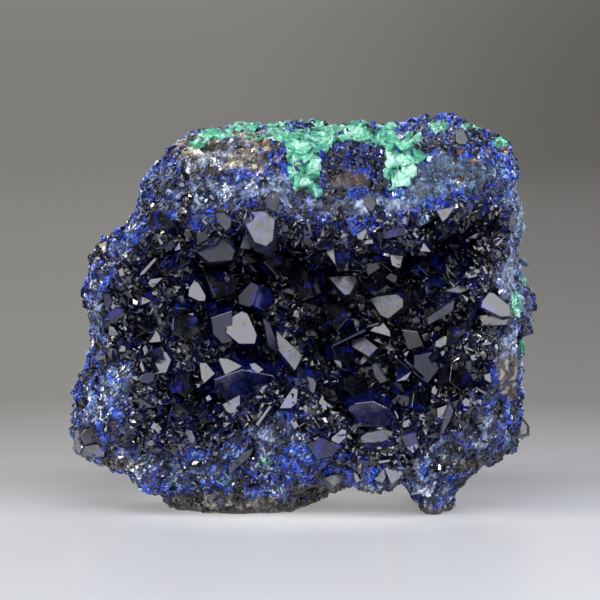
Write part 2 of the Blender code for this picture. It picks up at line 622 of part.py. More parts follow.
def keep_largest_body(shape):
    """Deletes all but the connected body with the most faces."""
    unseen = set(shape.faces)
    bodies = []
    while unseen:
        stack = [unseen.pop()]
        body = []
        while stack:
            face = stack.pop()
            body.append(face)
            for edge in face.edges:
                for near in edge.link_faces if len(edge.link_faces) == 2 else ():
                    if near in unseen:
                        unseen.remove(near)
                        stack.append(near)
        bodies.append(body)
    bodies.sort(key=len)
    for body in bodies[:-1]:
        bmesh.ops.delete(shape, geom=body, context="FACES")
    loose = [vert for vert in shape.verts if not vert.link_faces]
    bmesh.ops.delete(shape, geom=loose, context="VERTS")


def material(name, colour, roughness):
    made = bpy.data.materials.new(name)
    made.use_nodes = True
    shader = made.node_tree.nodes["Principled BSDF"]
    shader.inputs["Base Color"].default_value = colour
    shader.inputs["Roughness"].default_value = roughness
    shader.inputs["Metallic"].default_value = 0.0
    return made


def node(name, mesh, finish):
    """A named solid of the specimen."""
    mesh.materials.clear()
    mesh.materials.append(finish)
    mesh.name = name
    made = bpy.data.objects.new(name, mesh)
    bpy.context.collection.objects.link(made)
    return made


def stand_on_origin(nodes):
    """Moves the nodes so that the middle of their underside lies at the origin."""
    corners = [vert.co for made in nodes for vert in made.data.vertices]
    lowest = [min(corner[axis] for corner in corners) for axis in range(3)]
    highest = [max(corner[axis] for corner in corners) for axis in range(3)]
    base = Vector(((lowest[0] + highest[0]) / 2.0, (lowest[1] + highest[1]) / 2.0, lowest[2]))
    print("base in mm", base / MM)
    for made in nodes:
        for vert in made.data.vertices:
            vert.co -= base


def make_lump():
    """The lump with its rim crystals, as a working object."""
    rings = lump_rings()
    back = broken(Vector((CENTRE.x, BACK_Y, CENTRE.z)))
    floor = Vector((CENTRE.x, wall_y(CENTRE.x, CENTRE.z), CENTRE.z))
    lump = surface_of("lump", rings, back, floor)
    carve(lump)
    grown_in = []
    for n, (lean, y, corners) in enumerate(RIM_CRYSTALS):
        grown_in.append(crystal(f"rim_crystal_{n}", lean, y, corners, y + 4.5))
    draw = random.Random(RIM_BLADE_SEED)
    grown_in += [rim_blade(f"rim_blade_{n}", draw) for n in range(RIM_BLADES)]
    boolean(lump, "UNION", group=group_of("rim crystals", grown_in))
    corners = [Vector((x, y, z)) for x in (-90, 90) for y in (-90, 90) for z in (-30, 0)]
    below = [hull_of("ground", corners)]
    for n, ends in enumerate(GAPS):
        corners = [Vector((x, y, z)) for y, end in zip(GAP_ENDS, ends) for x, z in end]
        below.append(hull_of(f"gap_{n}", corners))
    for cutter in below:
        boolean(lump, "DIFFERENCE", cutter)
    lump.data = finished(lump)
    lump.modifiers.clear()
    return hidden(lump)


def make_crust(lumps):
    """The crust of the hollow: a lining with the crystals that stand on it."""
    rings = []
    for share in LINING_SHARES:
        ring = []
        for angle in ANGLES[::3]:
            point = polar(angle, share * reach(EDGE_CORNERS, angle), 0.0)
            point.y = wall_y(point.x, point.z)
            ring.append(point + facing_out(point.x, point.z) * CRUST_THICKNESS)
        rings.append(ring)
    front = Vector((CENTRE.x, wall_y(CENTRE.x, CENTRE.z) - CRUST_THICKNESS, CENTRE.z))
    behind = []
    for share in (0.5, 0.97):
        ring = [polar(a, share * reach(EDGE_CORNERS, a), HOLLOW_FLOOR_Y + 3.0) for a in ANGLES[::3]]
        behind.append(ring)
    back = Vector((CENTRE.x, HOLLOW_FLOOR_Y + 3.0, CENTRE.z))
    lining = surface_of("lining", behind + rings, back, front)
    standing = []
    middles = []
    for n, (lean, y, corners) in enumerate(VUG_CRYSTALS):
        drawn = [on_sheet(*corner) for corner in corners]
        middle = at_depth(sum(drawn, Vector()) / len(drawn), y)
        middles.append(middle)
        root = max(wall_y(middle.x, middle.z), y + 1.0)
        standing.append(crystal(f"vug_crystal_{n}", lean, y, corners, root))
    draw = random.Random(FILLER_SEED)
    for n, place in enumerate(filler_places(middles)):
        standing.append(filler_crystal(f"filler_{n}", place, draw))
    boolean(lining, "UNION", group=group_of("vug crystals", standing), solver="MANIFOLD")
    cut_clear(lining, lumps)
    return hidden(lining)


def seen_from_front(corners):
    """The front and back ends of a block that fills a shape on the sheet."""
    near, far = TOP_DEPTH
    drawn = [on_sheet(*corner) for corner in corners]
    front = [at_depth(point, near) for point in drawn]
    back = [at_depth(point, far + RAGGED_BACK * noise.noise(point / 6.0)) for point in drawn]
    for point in back:
        point.x *= BACK_SHARE
    return front, back


def seen_from_right(corners):
    """The right and left ends of a block that fills a shape drawn from the right."""
    return tuple([Vector((x, y, z)) for y, z in corners] for x in SIDE_REACH)


def make_malachite(name, ends, thick_lump, lumps):
    """A malachite skin: the part of a thicker lump that lies inside a block."""
    mesh = bpy.data.meshes.new(name)
    shape = bmesh.new()
    near, far = ([shape.verts.new(point * MM) for point in end] for end in ends)
    shape.faces.new(near)
    shape.faces.new(far[::-1])
    for n in range(len(near)):
        after = (n + 1) % len(near)
        shape.faces.new((near[n], far[n], far[after], near[after]))
    bmesh.ops.triangulate(shape, faces=shape.faces[:])
    bmesh.ops.recalc_face_normals(shape, faces=shape.faces[:])
    shape.to_mesh(mesh)
    shape.free()
    blank = bpy.data.objects.new(name + "_blank", mesh)
    bpy.context.collection.objects.link(blank)
    boolean(blank, "INTERSECT", thick_lump, solver="MANIFOLD")
    cut_clear(blank, lumps)
    return hidden(blank)


def main():
    for old in list(bpy.data.objects):
        bpy.data.objects.remove(old, do_unlink=True)
    azurite = material("azurite", COLOURS["azurite"], 0.35)
    deep = material("deep azurite", COLOURS["deep azurite"], 0.12)
    green = material("malachite", COLOURS["malachite"], 0.6)
    lump = make_lump()
    nodes = [node("azurite_rock", finished(lump), azurite)]
    lumps = []
    for n, gap in enumerate(CUTS):
        lumps.append(hidden(node(f"lump_{n}", finished(lump, gap), azurite)))
    thick = hidden(node("thick_lump", finished(lump, CLEARANCE + MALACHITE_THICKNESS), azurite))
    nodes.append(node("vug_crystals", finished(make_crust(lumps)), deep))
    for name, ends in (
        ("malachite_top", seen_from_front(MALACHITE_TOP)),
        ("malachite_upper_side", seen_from_right(UPPER_SIDE)),
        ("malachite_lower_side", seen_from_right(LOWER_SIDE)),
    ):
        skin = make_malachite(name, ends, thick, lumps)
        nodes.append(node(name, finished(skin, same_place=SAME_PLACE_IN_SKIN), green))
    stand_on_origin(nodes)


main()
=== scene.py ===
"""Azurite specimen: the finish of every surface, built over the CAD model.

The script is laid out as an add-on: its panel lists one operator for each piece, and main runs
them in order. Places are in millimetres until a mesh is written, which is in metres.
"""

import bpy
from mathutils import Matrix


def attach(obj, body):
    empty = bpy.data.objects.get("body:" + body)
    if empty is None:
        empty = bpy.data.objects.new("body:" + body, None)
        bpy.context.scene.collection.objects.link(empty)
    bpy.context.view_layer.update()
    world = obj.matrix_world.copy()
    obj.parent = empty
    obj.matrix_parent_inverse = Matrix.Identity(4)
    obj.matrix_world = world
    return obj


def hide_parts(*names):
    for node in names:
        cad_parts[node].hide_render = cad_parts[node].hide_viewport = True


bl_info = {
    "name": "Azurite Specimen",
    "version": (1, 0, 0),
    "blender": (4, 5, 0),
    "location": "3D View > Sidebar > Specimen",
    "description": "Builds the rock, the crystals, their druse and the malachite of an azurite specimen",
    "category": "Add Mesh",
}

import math

import bmesh
import bpy
import numpy as np
from bpy.props import FloatProperty, FloatVectorProperty, IntProperty, PointerProperty
from mathutils import Quaternion, Vector
from mathutils.bvhtree import BVHTree

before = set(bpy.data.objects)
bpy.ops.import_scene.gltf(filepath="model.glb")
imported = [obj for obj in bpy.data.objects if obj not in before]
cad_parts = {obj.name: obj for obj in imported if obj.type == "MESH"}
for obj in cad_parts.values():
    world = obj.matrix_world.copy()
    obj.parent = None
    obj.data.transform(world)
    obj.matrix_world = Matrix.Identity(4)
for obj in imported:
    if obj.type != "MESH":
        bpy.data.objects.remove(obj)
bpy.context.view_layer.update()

MM = 0.001
BODY = "root"

# ------------------------------------------------------------------ the front view's drawing sheet

SHEET_WIDTH = 464.0
SHEET_MIDDLE = 304.0
SHEET_FLOOR = 514.0
UNIT = 93.0 / SHEET_WIDTH  # millimetres for one unit of the sheet
SHEET_Y = -12.0
BASE = Vector((-0.247, 0.489, 0.0))  # how far the model was moved to stand on its origin, in mm
EYE = Vector((0.0, -750.0, 105.0)) - BASE
PLANE_Y = SHEET_Y - BASE.y
SHEET_SIZE = 600.0  # the sheet is square, and the camera sees just this much of it

# The edge of the hollow on the sheet, clockwise from the left.
HOLLOW_EDGE = (
    (121, 265), (133, 246), (145, 232), (174, 228), (193, 233), (212, 220), (230, 211), (256, 213),
    (285, 220), (315, 226), (345, 232), (358, 241), (407, 236), (419, 211), (450, 208), (460, 202),
    (485, 204), (509, 211), (509, 236), (498, 266), (495, 289), (510, 312), (503, 334), (493, 350),
    (491, 372), (486, 396), (473, 415), (462, 430), (450, 425), (437, 440), (421, 450), (410, 468),
    (389, 465), (360, 470), (345, 448), (321, 438), (307, 441), (303, 425), (294, 410), (279, 410),
    (255, 425), (235, 431), (220, 446), (205, 450), (177, 450), (139, 452), (126, 435), (127, 400),
    (127, 385), (138, 370), (123, 354), (108, 352), (107, 340), (109, 310), (112, 290),
)
HOLLOW_MIDDLE = (309.0, 319.0)
DEEPEST_WALL_Y = 2.0  # the hollow's wall lies in front of this depth

# Where the rock isn't blue: middle and half size on the sheet, and the kind of ground that shows.
PATCHES = (
    (226, 149, 56, 26, "matrix"),
    (196, 172, 22, 20, "matrix"),
    (348, 179, 17, 8, "rust"),
    (462, 171, 44, 17, "slate"),
    (425, 188, 26, 12, "slate"),
    (330, 208, 60, 9, "bruised"),
    (276, 190, 16, 20, "lilac"),
    (404, 227, 16, 10, "lilac"),
    (380, 205, 30, 8, "lilac"),
    (163, 182, 16, 20, "bruised"),
    (184, 190, 9, 30, "bruised"),
    (96, 300, 8, 50, "bruised"),
    (118, 250, 12, 10, "bruised"),
    (230, 505, 110, 9, "umber"),
    (250, 190, 14, 12, "bruised"),
    (160, 200, 12, 14, "bruised"),
    (126, 222, 14, 10, "bruised"),
    (455, 135, 22, 10, "bruised"),
    (205, 195, 40, 24, "bruised"),
    (440, 455, 24, 16, "bruised"),
    (300, 430, 14, 12, "bruised"),
    (116, 466, 18, 8, "umber"),
    (338, 494, 60, 8, "umber"),
    (430, 492, 20, 14, "bruised"),
    (507, 368, 10, 30, "matrix"),
    (521, 250, 13, 90, "lilac"),
    (508, 300, 8, 60, "lilac"),
    (482, 440, 22, 20, "bruised"),
    (492, 422, 6, 5, "rust"),
    (464, 466, 26, 10, "umber"),
    (500, 142, 8, 5, "green"),
    (470, 126, 12, 4, "green"),
    (438, 127, 10, 5, "green"),
    (265, 463, 4, 4, "green"),
    (516, 305, 4, 14, "green"),
    (459, 153, 4, 3, "iron"),
    (486, 152, 5, 2, "iron"),
    (504, 151, 4, 4, "iron"),
    (474, 161, 4, 2, "iron"),
    (461, 179, 4, 2, "iron"),
    (263, 143, 5, 3, "iron"),
)

# The kinds of ground: its colour in the pits, between and on the edges, and how much druse it bears.
# The pit colour is a painted shade: the rock's hollows are drawn darker than its crests.
KINDS = {
    "blue": ("#010206", "#041038", "#1440b4", 1.0),
    "matrix": ("#1c1814", "#7c7064", "#d0c8bc", 0.16),
    "rust": ("#0c0a08", "#352a22", "#62513f", 0.15),
    "slate": ("#0c1838", "#2c4468", "#647c94", 0.25),
    "bruised": ("#01030c", "#142858", "#94a8c0", 0.7),
    "lilac": ("#24305c", "#66769c", "#a4b2cc", 0.25),
    "green": ("#1c5c4a", "#4fae88", "#a8e4cc", 0.3),
    "iron": ("#401c0e", "#8c4c2c", "#b07048", 0.2),
    "umber": ("#080606", "#2c2826", "#847e78", 0.8),
}

# Directions that the crystals' end faces look in.
LEANS = {
    "up": (0.00, -0.88, 0.47),
    "up_left": (-0.19, -0.87, 0.46),
    "up_right": (0.25, -0.86, 0.44),
    "left": (-0.50, -0.86, 0.06),
    "right": (0.45, -0.88, 0.12),
    "front": (0.04, -0.99, 0.14),
    "down": (0.12, -0.92, -0.36),
    "steep_left": (-0.62, -0.72, 0.30),
    "steep_right": (0.62, -0.72, 0.30),
    "lamp": (-0.46, -0.84, 0.29),
}


def cornered(*rows):
    """The crystals of a table, each with its corners as pairs."""
    return [(lean, tone, y, tuple(zip(flat[::2], flat[1::2]))) for lean, tone, y, *flat in rows]


# Crystals of the hollow: lean, tone, depth of the end face in mm, and its corners, across and down.
VUG_CRYSTALS = cornered(
    # under the lintel, left of the middle
    ("front", "frost", -21.5, 216, 213, 223, 212, 232, 219, 230, 227, 226, 231, 217, 220),
    ("up", "clear", -21.0, 234, 221, 239, 225, 236, 233, 232, 235, 228, 232),
    ("up", "frost", -21.5, 257, 202, 266, 212, 275, 219, 273, 240, 266, 246, 255, 242, 244, 222, 247, 216),
    ("front", "frost", -20.0, 245, 233, 249, 238, 252, 244, 250, 249, 240, 248, 243, 238),
    ("front", "frost", -19.5, 208, 233, 222, 234, 235, 250, 232, 260, 209, 262, 193, 249, 199, 241),
    ("steep_right", "dark", -19.0, 270, 250, 288, 256, 292, 268, 276, 274, 264, 262),
    ("steep_left", "dark", -17.5, 288, 264, 306, 270, 314, 296, 302, 300, 290, 284),
    # left part
    ("up", "clear", -18.5, 195, 279, 200, 285, 206, 296, 205, 301, 199, 301, 188, 296, 189, 288),
    ("up", "clear", -18.5, 164, 277, 157, 283, 152, 288, 148, 283, 150, 279),
    ("up_left", "clear", -20.0, 138, 275, 144, 278, 150, 286, 145, 287, 137, 280),
    ("left", "clear", -20.5, 122, 298, 129, 291, 140, 295, 152, 301, 142, 304, 130, 310),
    ("steep_left", "dark", -21.5, 147, 225, 151, 214, 157, 211, 166, 218, 169, 225, 160, 229),
    ("up_left", "dark", -19.5, 176, 247, 188, 251, 190, 262, 178, 268, 168, 258),
    ("front", "clear", -22.0, 108, 313, 115, 308, 124, 309, 122, 315, 113, 324, 109, 321),
    ("up", "clear", -21.0, 115, 344, 121, 345, 126, 347, 125, 352, 118, 352),
    ("up", "clear", -19.0, 148, 339, 151, 331, 156, 330, 160, 336, 161, 342, 149, 343),
    ("left", "clear", -18.5, 152, 350, 161, 347, 171, 360, 166, 373, 153, 375, 151, 362),
    ("up", "clear", -19.5, 141, 359, 145, 371, 142, 373, 139, 366),
    ("up_left", "clear", -18.0, 176, 297, 184, 294, 185, 304, 180, 303),
    ("up", "clear", -18.5, 177, 340, 181, 339, 182, 345, 178, 345),
    ("steep_right", "dark", -18.0, 174, 313, 196, 316, 202, 330, 186, 342, 172, 330),
    ("steep_left", "dark", -19.0, 127, 324, 142, 320, 147, 331, 134, 338),
    ("steep_right", "dark", -18.5, 176, 375, 190, 372, 196, 388, 186, 398, 174, 390),
    ("front", "frost", -20.0, 127, 402, 140, 399, 154, 408, 142, 409, 131, 406),
    ("up_left", "clear", -21.0, 127, 418, 135, 421, 139, 425, 133, 429, 127, 424),
    ("left", "clear", -20.5, 159, 427, 172, 409, 168, 423, 165, 431),
    ("up", "clear", -20.0, 152, 414, 155, 414, 156, 417, 153, 418),
    ("steep_right", "dark", -19.5, 172, 404, 192, 402, 196, 414, 182, 424, 171, 416),
    # large ones left of the middle
    ("up", "clear", -16.5, 242, 311, 248, 314, 257, 335, 255, 344, 239, 344, 226, 333, 228, 319),
    ("down", "blue", -16.0, 211, 318, 232, 311, 226, 333, 232, 342, 222, 344, 213, 334),
    ("up_right", "frost", -15.0, 276, 330, 286, 340, 300, 353, 302, 358, 295, 371, 279, 351),
    ("down", "blue", -14.5, 263, 319, 270, 324, 276, 340, 280, 356, 268, 346),
    ("up", "clear", -17.0, 219, 358, 228, 359, 242, 366, 232, 376, 225, 376, 219, 362),
    ("up", "clear", -17.5, 199, 363, 206, 363, 211, 373, 215, 374, 204, 384, 201, 379),
    ("down", "blue", -16.5, 214, 380, 242, 370, 272, 376, 287, 388, 268, 404, 240, 405, 216, 396),
    ("front", "clear", -15.5, 238, 296, 251, 282, 258, 285, 262, 297, 250, 307, 239, 304),
    ("steep_right", "blue", -15.0, 259, 284, 270, 290, 276, 302, 265, 311, 255, 306),
    ("steep_right", "dark", -16.0, 206, 276, 226, 270, 240, 280, 234, 294, 214, 298),
    # middle and right of it
    ("left", "frost", -13.5, 370, 299, 378, 296, 397, 294, 403, 299, 403, 307, 388, 319, 380, 315),
    ("up_right", "clear", -13.5, 376, 324, 383, 322, 390, 331, 391, 337, 370, 331),
    ("up", "clear", -13.5, 373, 340, 379, 338, 384, 339, 387, 343, 381, 344),
    ("up_left", "clear", -12.5, 351, 316, 360, 321, 358, 333, 354, 325),
    ("up_left", "frost", -13.5, 352, 340, 364, 337, 378, 348, 369, 357, 364, 354, 352, 347),
    ("steep_right", "dark", -13.0, 332, 347, 350, 347, 362, 356, 348, 364, 336, 358),
    ("left", "clear", -13.0, 333, 359, 339, 357, 342, 365, 341, 369, 335, 363),
    ("front", "frost", -14.0, 372, 366, 376, 363, 381, 373, 388, 381, 381, 384, 375, 377),
    ("steep_left", "dark", -13.0, 326, 306, 342, 302, 348, 318, 338, 330, 327, 322),
    ("steep_right", "blue", -13.5, 296, 367, 315, 371, 322, 377, 314, 386, 301, 385),
    ("steep_right", "dark", -13.0, 350, 376, 366, 378, 370, 392, 358, 400, 346, 390),
    ("up_left", "clear", -15.5, 399, 356, 410, 350, 406, 358),
    ("down", "dark", -16.5, 402, 330, 418, 332, 424, 346, 408, 350),
    ("front", "blue", -16.0, 414, 356, 432, 352, 440, 368, 428, 384, 414, 374),
    # right part
    ("up", "clear", -20.0, 489, 292, 494, 293, 510, 306, 511, 316, 501, 317, 481, 307, 482, 301),
    ("left", "frost", -19.5, 477, 316, 492, 314, 510, 318, 506, 325, 492, 326, 484, 325),
    ("up_left", "frost", -18.0, 469, 297, 474, 292, 484, 293, 479, 300, 474, 303),
    ("left", "clear", -17.0, 461, 293, 469, 298, 467, 303),
    ("front", "frost", -17.0, 427, 318, 436, 313, 447, 304, 455, 300, 453, 311, 443, 317, 429, 325),
    ("up", "frost", -16.0, 444, 291, 459, 285, 475, 288, 460, 293),
    ("steep_left", "dark", -17.5, 448, 328, 466, 322, 472, 340, 458, 352, 446, 344),
    ("left", "clear", -18.0, 474, 334, 480, 333, 480, 338, 476, 340),
    ("up", "clear", -18.5, 484, 375, 491, 373, 492, 384, 485, 380),
    ("steep_right", "dark", -17.5, 452, 364, 470, 362, 476, 380, 462, 392, 450, 382),
    ("up_left", "clear", -17.5, 462, 402, 466, 398, 471, 401, 470, 407, 464, 407),
    # upper right
    ("up_left", "clear", -19.0, 436, 210, 443, 213, 450, 207, 455, 206, 447, 218, 442, 222),
    ("right", "clear", -18.5, 426, 223, 432, 220, 437, 224, 431, 228),
    ("up_right", "clear", -19.0, 471, 211, 476, 208, 482, 217, 478, 219),
    ("left", "clear", -17.5, 467, 226, 472, 221, 479, 231, 475, 236),
    ("left", "clear", -16.5, 438, 227, 441, 229, 437, 239, 434, 236),
    ("up", "clear", -16.0, 445, 241, 453, 240, 462, 246, 452, 249),
    ("up", "clear", -17.0, 476, 248, 485, 245, 485, 248, 479, 251),
    ("steep_right", "dark", -16.0, 420, 252, 440, 256, 446, 270, 428, 276, 418, 266),
    ("left", "clear", -16.5, 470, 266, 480, 268, 471, 275, 461, 279),
    ("steep_left", "dark", -19.0, 486, 226, 498, 222, 502, 240, 490, 248),
    # under the lintel, right of the middle
    ("left", "frost", -20.5, 316, 226, 324, 232, 332, 237, 336, 266, 321, 245, 316, 234),
    ("right", "blue", -19.5, 333, 238, 344, 239, 353, 236, 351, 256, 345, 263, 337, 262),
    ("up", "clear", -18.5, 336, 266, 344, 263, 341, 271, 337, 271),
    ("up_right", "clear", -19.5, 357, 234, 366, 228, 367, 232, 363, 240, 358, 239),
    ("up", "clear", -19.0, 359, 241, 372, 239, 376, 243, 360, 245),
    ("up", "frost", -18.0, 329, 277, 355, 275, 357, 281, 350, 294, 345, 295, 337, 287),
    ("left", "clear", -17.0, 314, 282, 318, 284, 321, 293, 317, 294),
    ("steep_right", "dark", -15.5, 384, 252, 398, 250, 402, 264, 392, 272, 382, 264),
    ("down", "dark", -15.5, 362, 256, 376, 254, 380, 268, 368, 276),
    ("up", "clear", -15.5, 398, 263, 402, 259, 406, 262, 402, 266),
    # lower left and lower middle
    ("up", "frost", -19.0, 222, 405, 231, 401, 240, 395, 240, 412, 239, 420, 226, 412),
    ("left", "clear", -18.5, 254, 400, 256, 396, 267, 397, 272, 402, 270, 405, 258, 403),
    ("up", "clear", -19.0, 293, 388, 298, 390, 297, 403, 291, 409, 279, 409, 287, 396),
    ("steep_right", "dark", -20.0, 198, 416, 207, 409, 221, 420, 213, 428, 202, 429),
    ("left", "clear", -20.5, 202, 430, 212, 430, 203, 436),
    ("front", "frost", -20.5, 206, 436, 221, 427, 224, 433, 216, 442, 211, 441),
    ("up", "clear", -20.5, 224, 428, 230, 426, 240, 428, 234, 433, 225, 433),
    ("left", "clear", -17.5, 310, 419, 313, 417, 320, 429, 317, 431, 311, 425),
    ("up", "clear", -16.5, 299, 397, 303, 396, 307, 399, 301, 401),
    ("up", "clear", -16.5, 325, 402, 329, 400, 336, 405, 336, 409, 328, 408),
    ("up_right", "frost", -18.5, 360, 435, 385, 430, 399, 434, 399, 439, 374, 458, 362, 446),
    ("down", "blue", -17.5, 348, 409, 356, 404, 373, 402, 390, 410, 401, 425, 380, 428, 358, 428),
    ("left", "clear", -17.0, 394, 412, 396, 411, 399, 418, 398, 421),
    ("up_left", "clear", -18.0, 401, 424, 410, 419, 413, 426, 404, 429),
    ("front", "frost", -19.5, 402, 437, 416, 433, 420, 447, 409, 451, 405, 447),
    ("up", "clear", -18.5, 437, 409, 448, 405, 444, 415, 438, 420),
    ("front", "frost", -18.5, 450, 404, 454, 412, 450, 422, 443, 434, 441, 436, 444, 420),
    ("steep_right", "dark", -18.0, 414, 394, 430, 390, 436, 406, 424, 416, 412, 408),
    ("steep_left", "dark", -16.5, 318, 388, 334, 390, 340, 404, 328, 398, 318, 400),
    # small crystals, and splinters
    ("up_left", "clear", -20.5, 139, 276, 141, 272, 155, 257, 158, 258, 144, 274),
    ("lamp", "clear", -21.5, 132, 292, 137, 291, 139, 298, 137, 305, 133, 304),
    ("left", "clear", -22.5, 109, 325, 113, 327, 118, 335, 113, 337, 108, 335),
    ("up_left", "clear", -22.5, 106, 353, 112, 347, 112, 360, 108, 357),
    ("up", "clear", -17.0, 249, 364, 255, 363, 264, 370, 258, 374, 252, 370),
    ("up", "clear", -14.0, 366, 328, 368, 325, 384, 321, 382, 324),
    ("front", "blue", -14.5, 331, 348, 333, 345, 364, 329, 367, 331, 350, 339),
    ("up_right", "clear", -14.5, 394, 357, 396, 355, 416, 372, 414, 374),
    ("up", "clear", -15.0, 404, 338, 407, 338, 408, 345, 405, 345),
    ("up", "clear", -15.0, 410, 339, 412, 339, 414, 345, 411, 345),
    ("down", "dark", -17.0, 404, 361, 406, 359, 433, 386, 431, 388),
    ("up", "clear", -17.0, 447, 242, 451, 241, 460, 244, 459, 246, 449, 245),
    ("left", "clear", -17.0, 452, 248, 456, 249, 460, 259, 457, 260),
    ("up_right", "clear", -17.0, 459, 252, 462, 253, 468, 262, 465, 263),
    ("up", "clear", -17.0, 443, 250, 446, 250, 449, 258, 446, 259),
    ("up", "clear", -17.0, 461, 249, 464, 250, 468, 241, 466, 239),
    ("up_left", "clear", -17.0, 460, 280, 468, 268, 471, 275),
    ("up", "clear", -18.0, 481, 254, 484, 254, 487, 258, 484, 259),
    ("up", "clear", -19.0, 494, 245, 498, 246, 503, 240, 501, 238),
    ("up", "clear", -17.0, 410, 267, 419, 266, 420, 270, 411, 271),
    ("up_left", "frost", -21.5, 306, 222, 310, 222, 312, 237, 310, 234),
    ("up", "clear", -17.5, 378, 462, 391, 460, 390, 463, 379, 465),
    ("left", "clear", -18.5, 476, 387, 488, 393, 486, 396, 475, 389),
    ("left", "clear", -19.5, 269, 406, 272, 407, 258, 427, 255, 425),
    ("left", "clear", -19.5, 260, 411, 263, 412, 259, 419, 256, 418),
    ("up", "clear", -19.5, 245, 414, 247, 415, 251, 422, 248, 422),
    ("left", "frost", -20.5, 227, 438, 229, 439, 235, 434, 233, 433),
    ("up", "clear", -16.5, 299, 408, 304, 408, 304, 410, 299, 411),
    ("lamp", "clear", -18.5, 437, 410, 447, 405, 445, 410, 438, 414),
    ("lamp", "clear", -18.0, 475, 333, 478, 334, 479, 338, 476, 337),
    ("lamp", "clear", -20.0, 152, 414, 156, 414, 156, 417, 153, 418),
    ("lamp", "clear", -21.0, 128, 419, 134, 421, 137, 424, 130, 424),
    ("up", "clear", -20.0, 263, 242, 268, 241, 270, 247, 265, 249),
    ("up_left", "clear", -19.0, 228, 266, 234, 262, 236, 266, 230, 271),
    ("up", "clear", -18.0, 222, 273, 226, 271, 230, 279, 225, 280),
    ("up", "clear", -17.0, 246, 262, 252, 264, 258, 272, 252, 270),
    ("up_right", "clear", -17.5, 180, 251, 184, 250, 186, 256, 182, 257),
    ("up", "clear", -19.5, 172, 243, 180, 242, 181, 249, 175, 251),
    ("steep_right", "dark", -15.0, 389, 356, 394, 354, 397, 361, 391, 362),
    ("up", "clear", -14.5, 420, 300, 425, 298, 427, 303, 422, 305),
    ("down", "dark", -15.5, 422, 336, 428, 333, 430, 340, 424, 342),
    ("up", "clear", -16.5, 455, 340, 461, 338, 463, 343, 457, 345),
    ("up", "clear", -17.5, 470, 356, 476, 354, 478, 360, 472, 361),
    ("up_right", "clear", -16.5, 434, 362, 440, 360, 444, 366, 437, 367),
    ("up_left", "clear", -19.0, 142, 348, 146, 344, 148, 352, 144, 356),
    ("up", "clear", -20.5, 118, 270, 123, 267, 125, 275, 120, 277),
    ("up_left", "clear", -19.0, 205, 398, 209, 395, 212, 400, 207, 402),
    ("up", "clear", -16.5, 345, 436, 350, 434, 353, 440, 347, 441),
    ("up", "clear", -16.0, 291, 424, 296, 421, 299, 427, 294, 430),
)

# Crystals grown into the rock's own rim: the same.
RIM_CRYSTALS = cornered(
    ("front", "frost", -15.0, 85, 430, 91, 427, 95, 432, 94, 443, 85, 445, 80, 435),
    ("left", "clear", -14.5, 84, 447, 96, 445, 104, 452, 103, 458, 93, 459, 80, 456),
    ("left", "blue", -11.0, 74, 431, 82, 428, 84, 447, 80, 456, 73, 449),
    ("up", "frost", -11.0, 508, 432, 516, 418, 523, 420, 528, 427, 528, 434, 515, 438),
    ("steep_left", "dark", -10.5, 507, 421, 516, 415, 516, 420, 508, 432),
    ("front", "frost", -18.0, 243, 453, 252, 450, 249, 458, 237, 466, 230, 475, 229, 468),
    ("front", "blue", -21.5, 307, 445, 321, 439, 341, 447, 332, 457, 318, 460),
    ("up_right", "frost", -19.5, 325, 479, 348, 471, 346, 479, 333, 488),
    ("left", "blue", -20.5, 372, 475, 378, 468, 384, 471, 386, 479, 383, 484, 374, 482),
    ("up_right", "blue", -20.5, 384, 468, 389, 465, 404, 474, 400, 480, 392, 486),
    ("left", "frost", -20.5, 411, 468, 416, 459, 421, 460, 414, 470),
    ("up_left", "frost", -23.5, 391, 222, 402, 224, 400, 236, 391, 236),
    ("up", "frost", -23.0, 404, 219, 418, 218, 417, 235, 407, 235),
    ("front", "clear", -18.5, 104, 293, 110, 294, 112, 301, 109, 309, 104, 304),
    ("left", "clear", -17.0, 96, 352, 104, 353, 106, 359, 97, 361),
    ("right", "frost", -13.5, 507, 221, 512, 213, 517, 223, 509, 228),
    ("lamp", "frost", -16.0, 98, 244, 107, 241, 106, 252, 97, 258),
    ("lamp", "clear", -15.0, 103, 428, 106, 424, 107, 431, 104, 434),
    ("lamp", "clear", -19.0, 134, 465, 138, 463, 138, 469, 135, 471),
    ("up", "frost", -21.5, 353, 474, 357, 473, 361, 482, 356, 485),
    ("up_left", "blue", -17.0, 150, 226, 153, 216, 161, 214, 168, 222, 162, 230),
    ("front", "frost", -17.0, 266, 196, 275, 192, 280, 200, 276, 212, 268, 208),
    ("front", "frost", -20.0, 362, 194, 368, 190, 376, 204, 372, 212, 365, 206),
    ("up_right", "frost", -12.0, 455, 130, 462, 128, 468, 140, 463, 148, 456, 142),
)

# A crystal widens from its end face to a shoulder and on to its root, which is sunk in the wall.
ROOT_DEPTH = 1.4  # in mm
SHOULDER_DEPTH = 0.3  # as a share of its length
SHOULDER_FLARE = 1.16
ROOT_FLARE = 1.34
EDGE_BEVEL = 0.09  # worn edge of a large crystal, in mm

HOLLOW_STANDING = (4.2, 14.0)  # how far an end face stands in front of the CAD model's wall, in mm
RIM_STANDING = (0.7, 2.4)
RIM_FRONT = -20.0  # a depth near the rim's front, in mm
BEFORE_ALL = -60.0  # a depth in front of every piece, in mm
OPEN_WALL = 4.0  # how far behind a crystal its wall is taken to be where the rock has none, in mm

HOLLOW_BRINK = 1.01  # the hollow_share at which the hollow gives way to the rim
LINING_EDGE = 1.02
LINING_RISE = 2.0  # how far the lining stands off the rock's wall, in mm
LINING_FROST = 0.3
TABLET_EDGE = 0.93  # where the middling crystals end
COMBED_ZONE = (462.0, 257.0, 42.0, 36.0)  # where the hollow's laths all lean one way: middle and half size

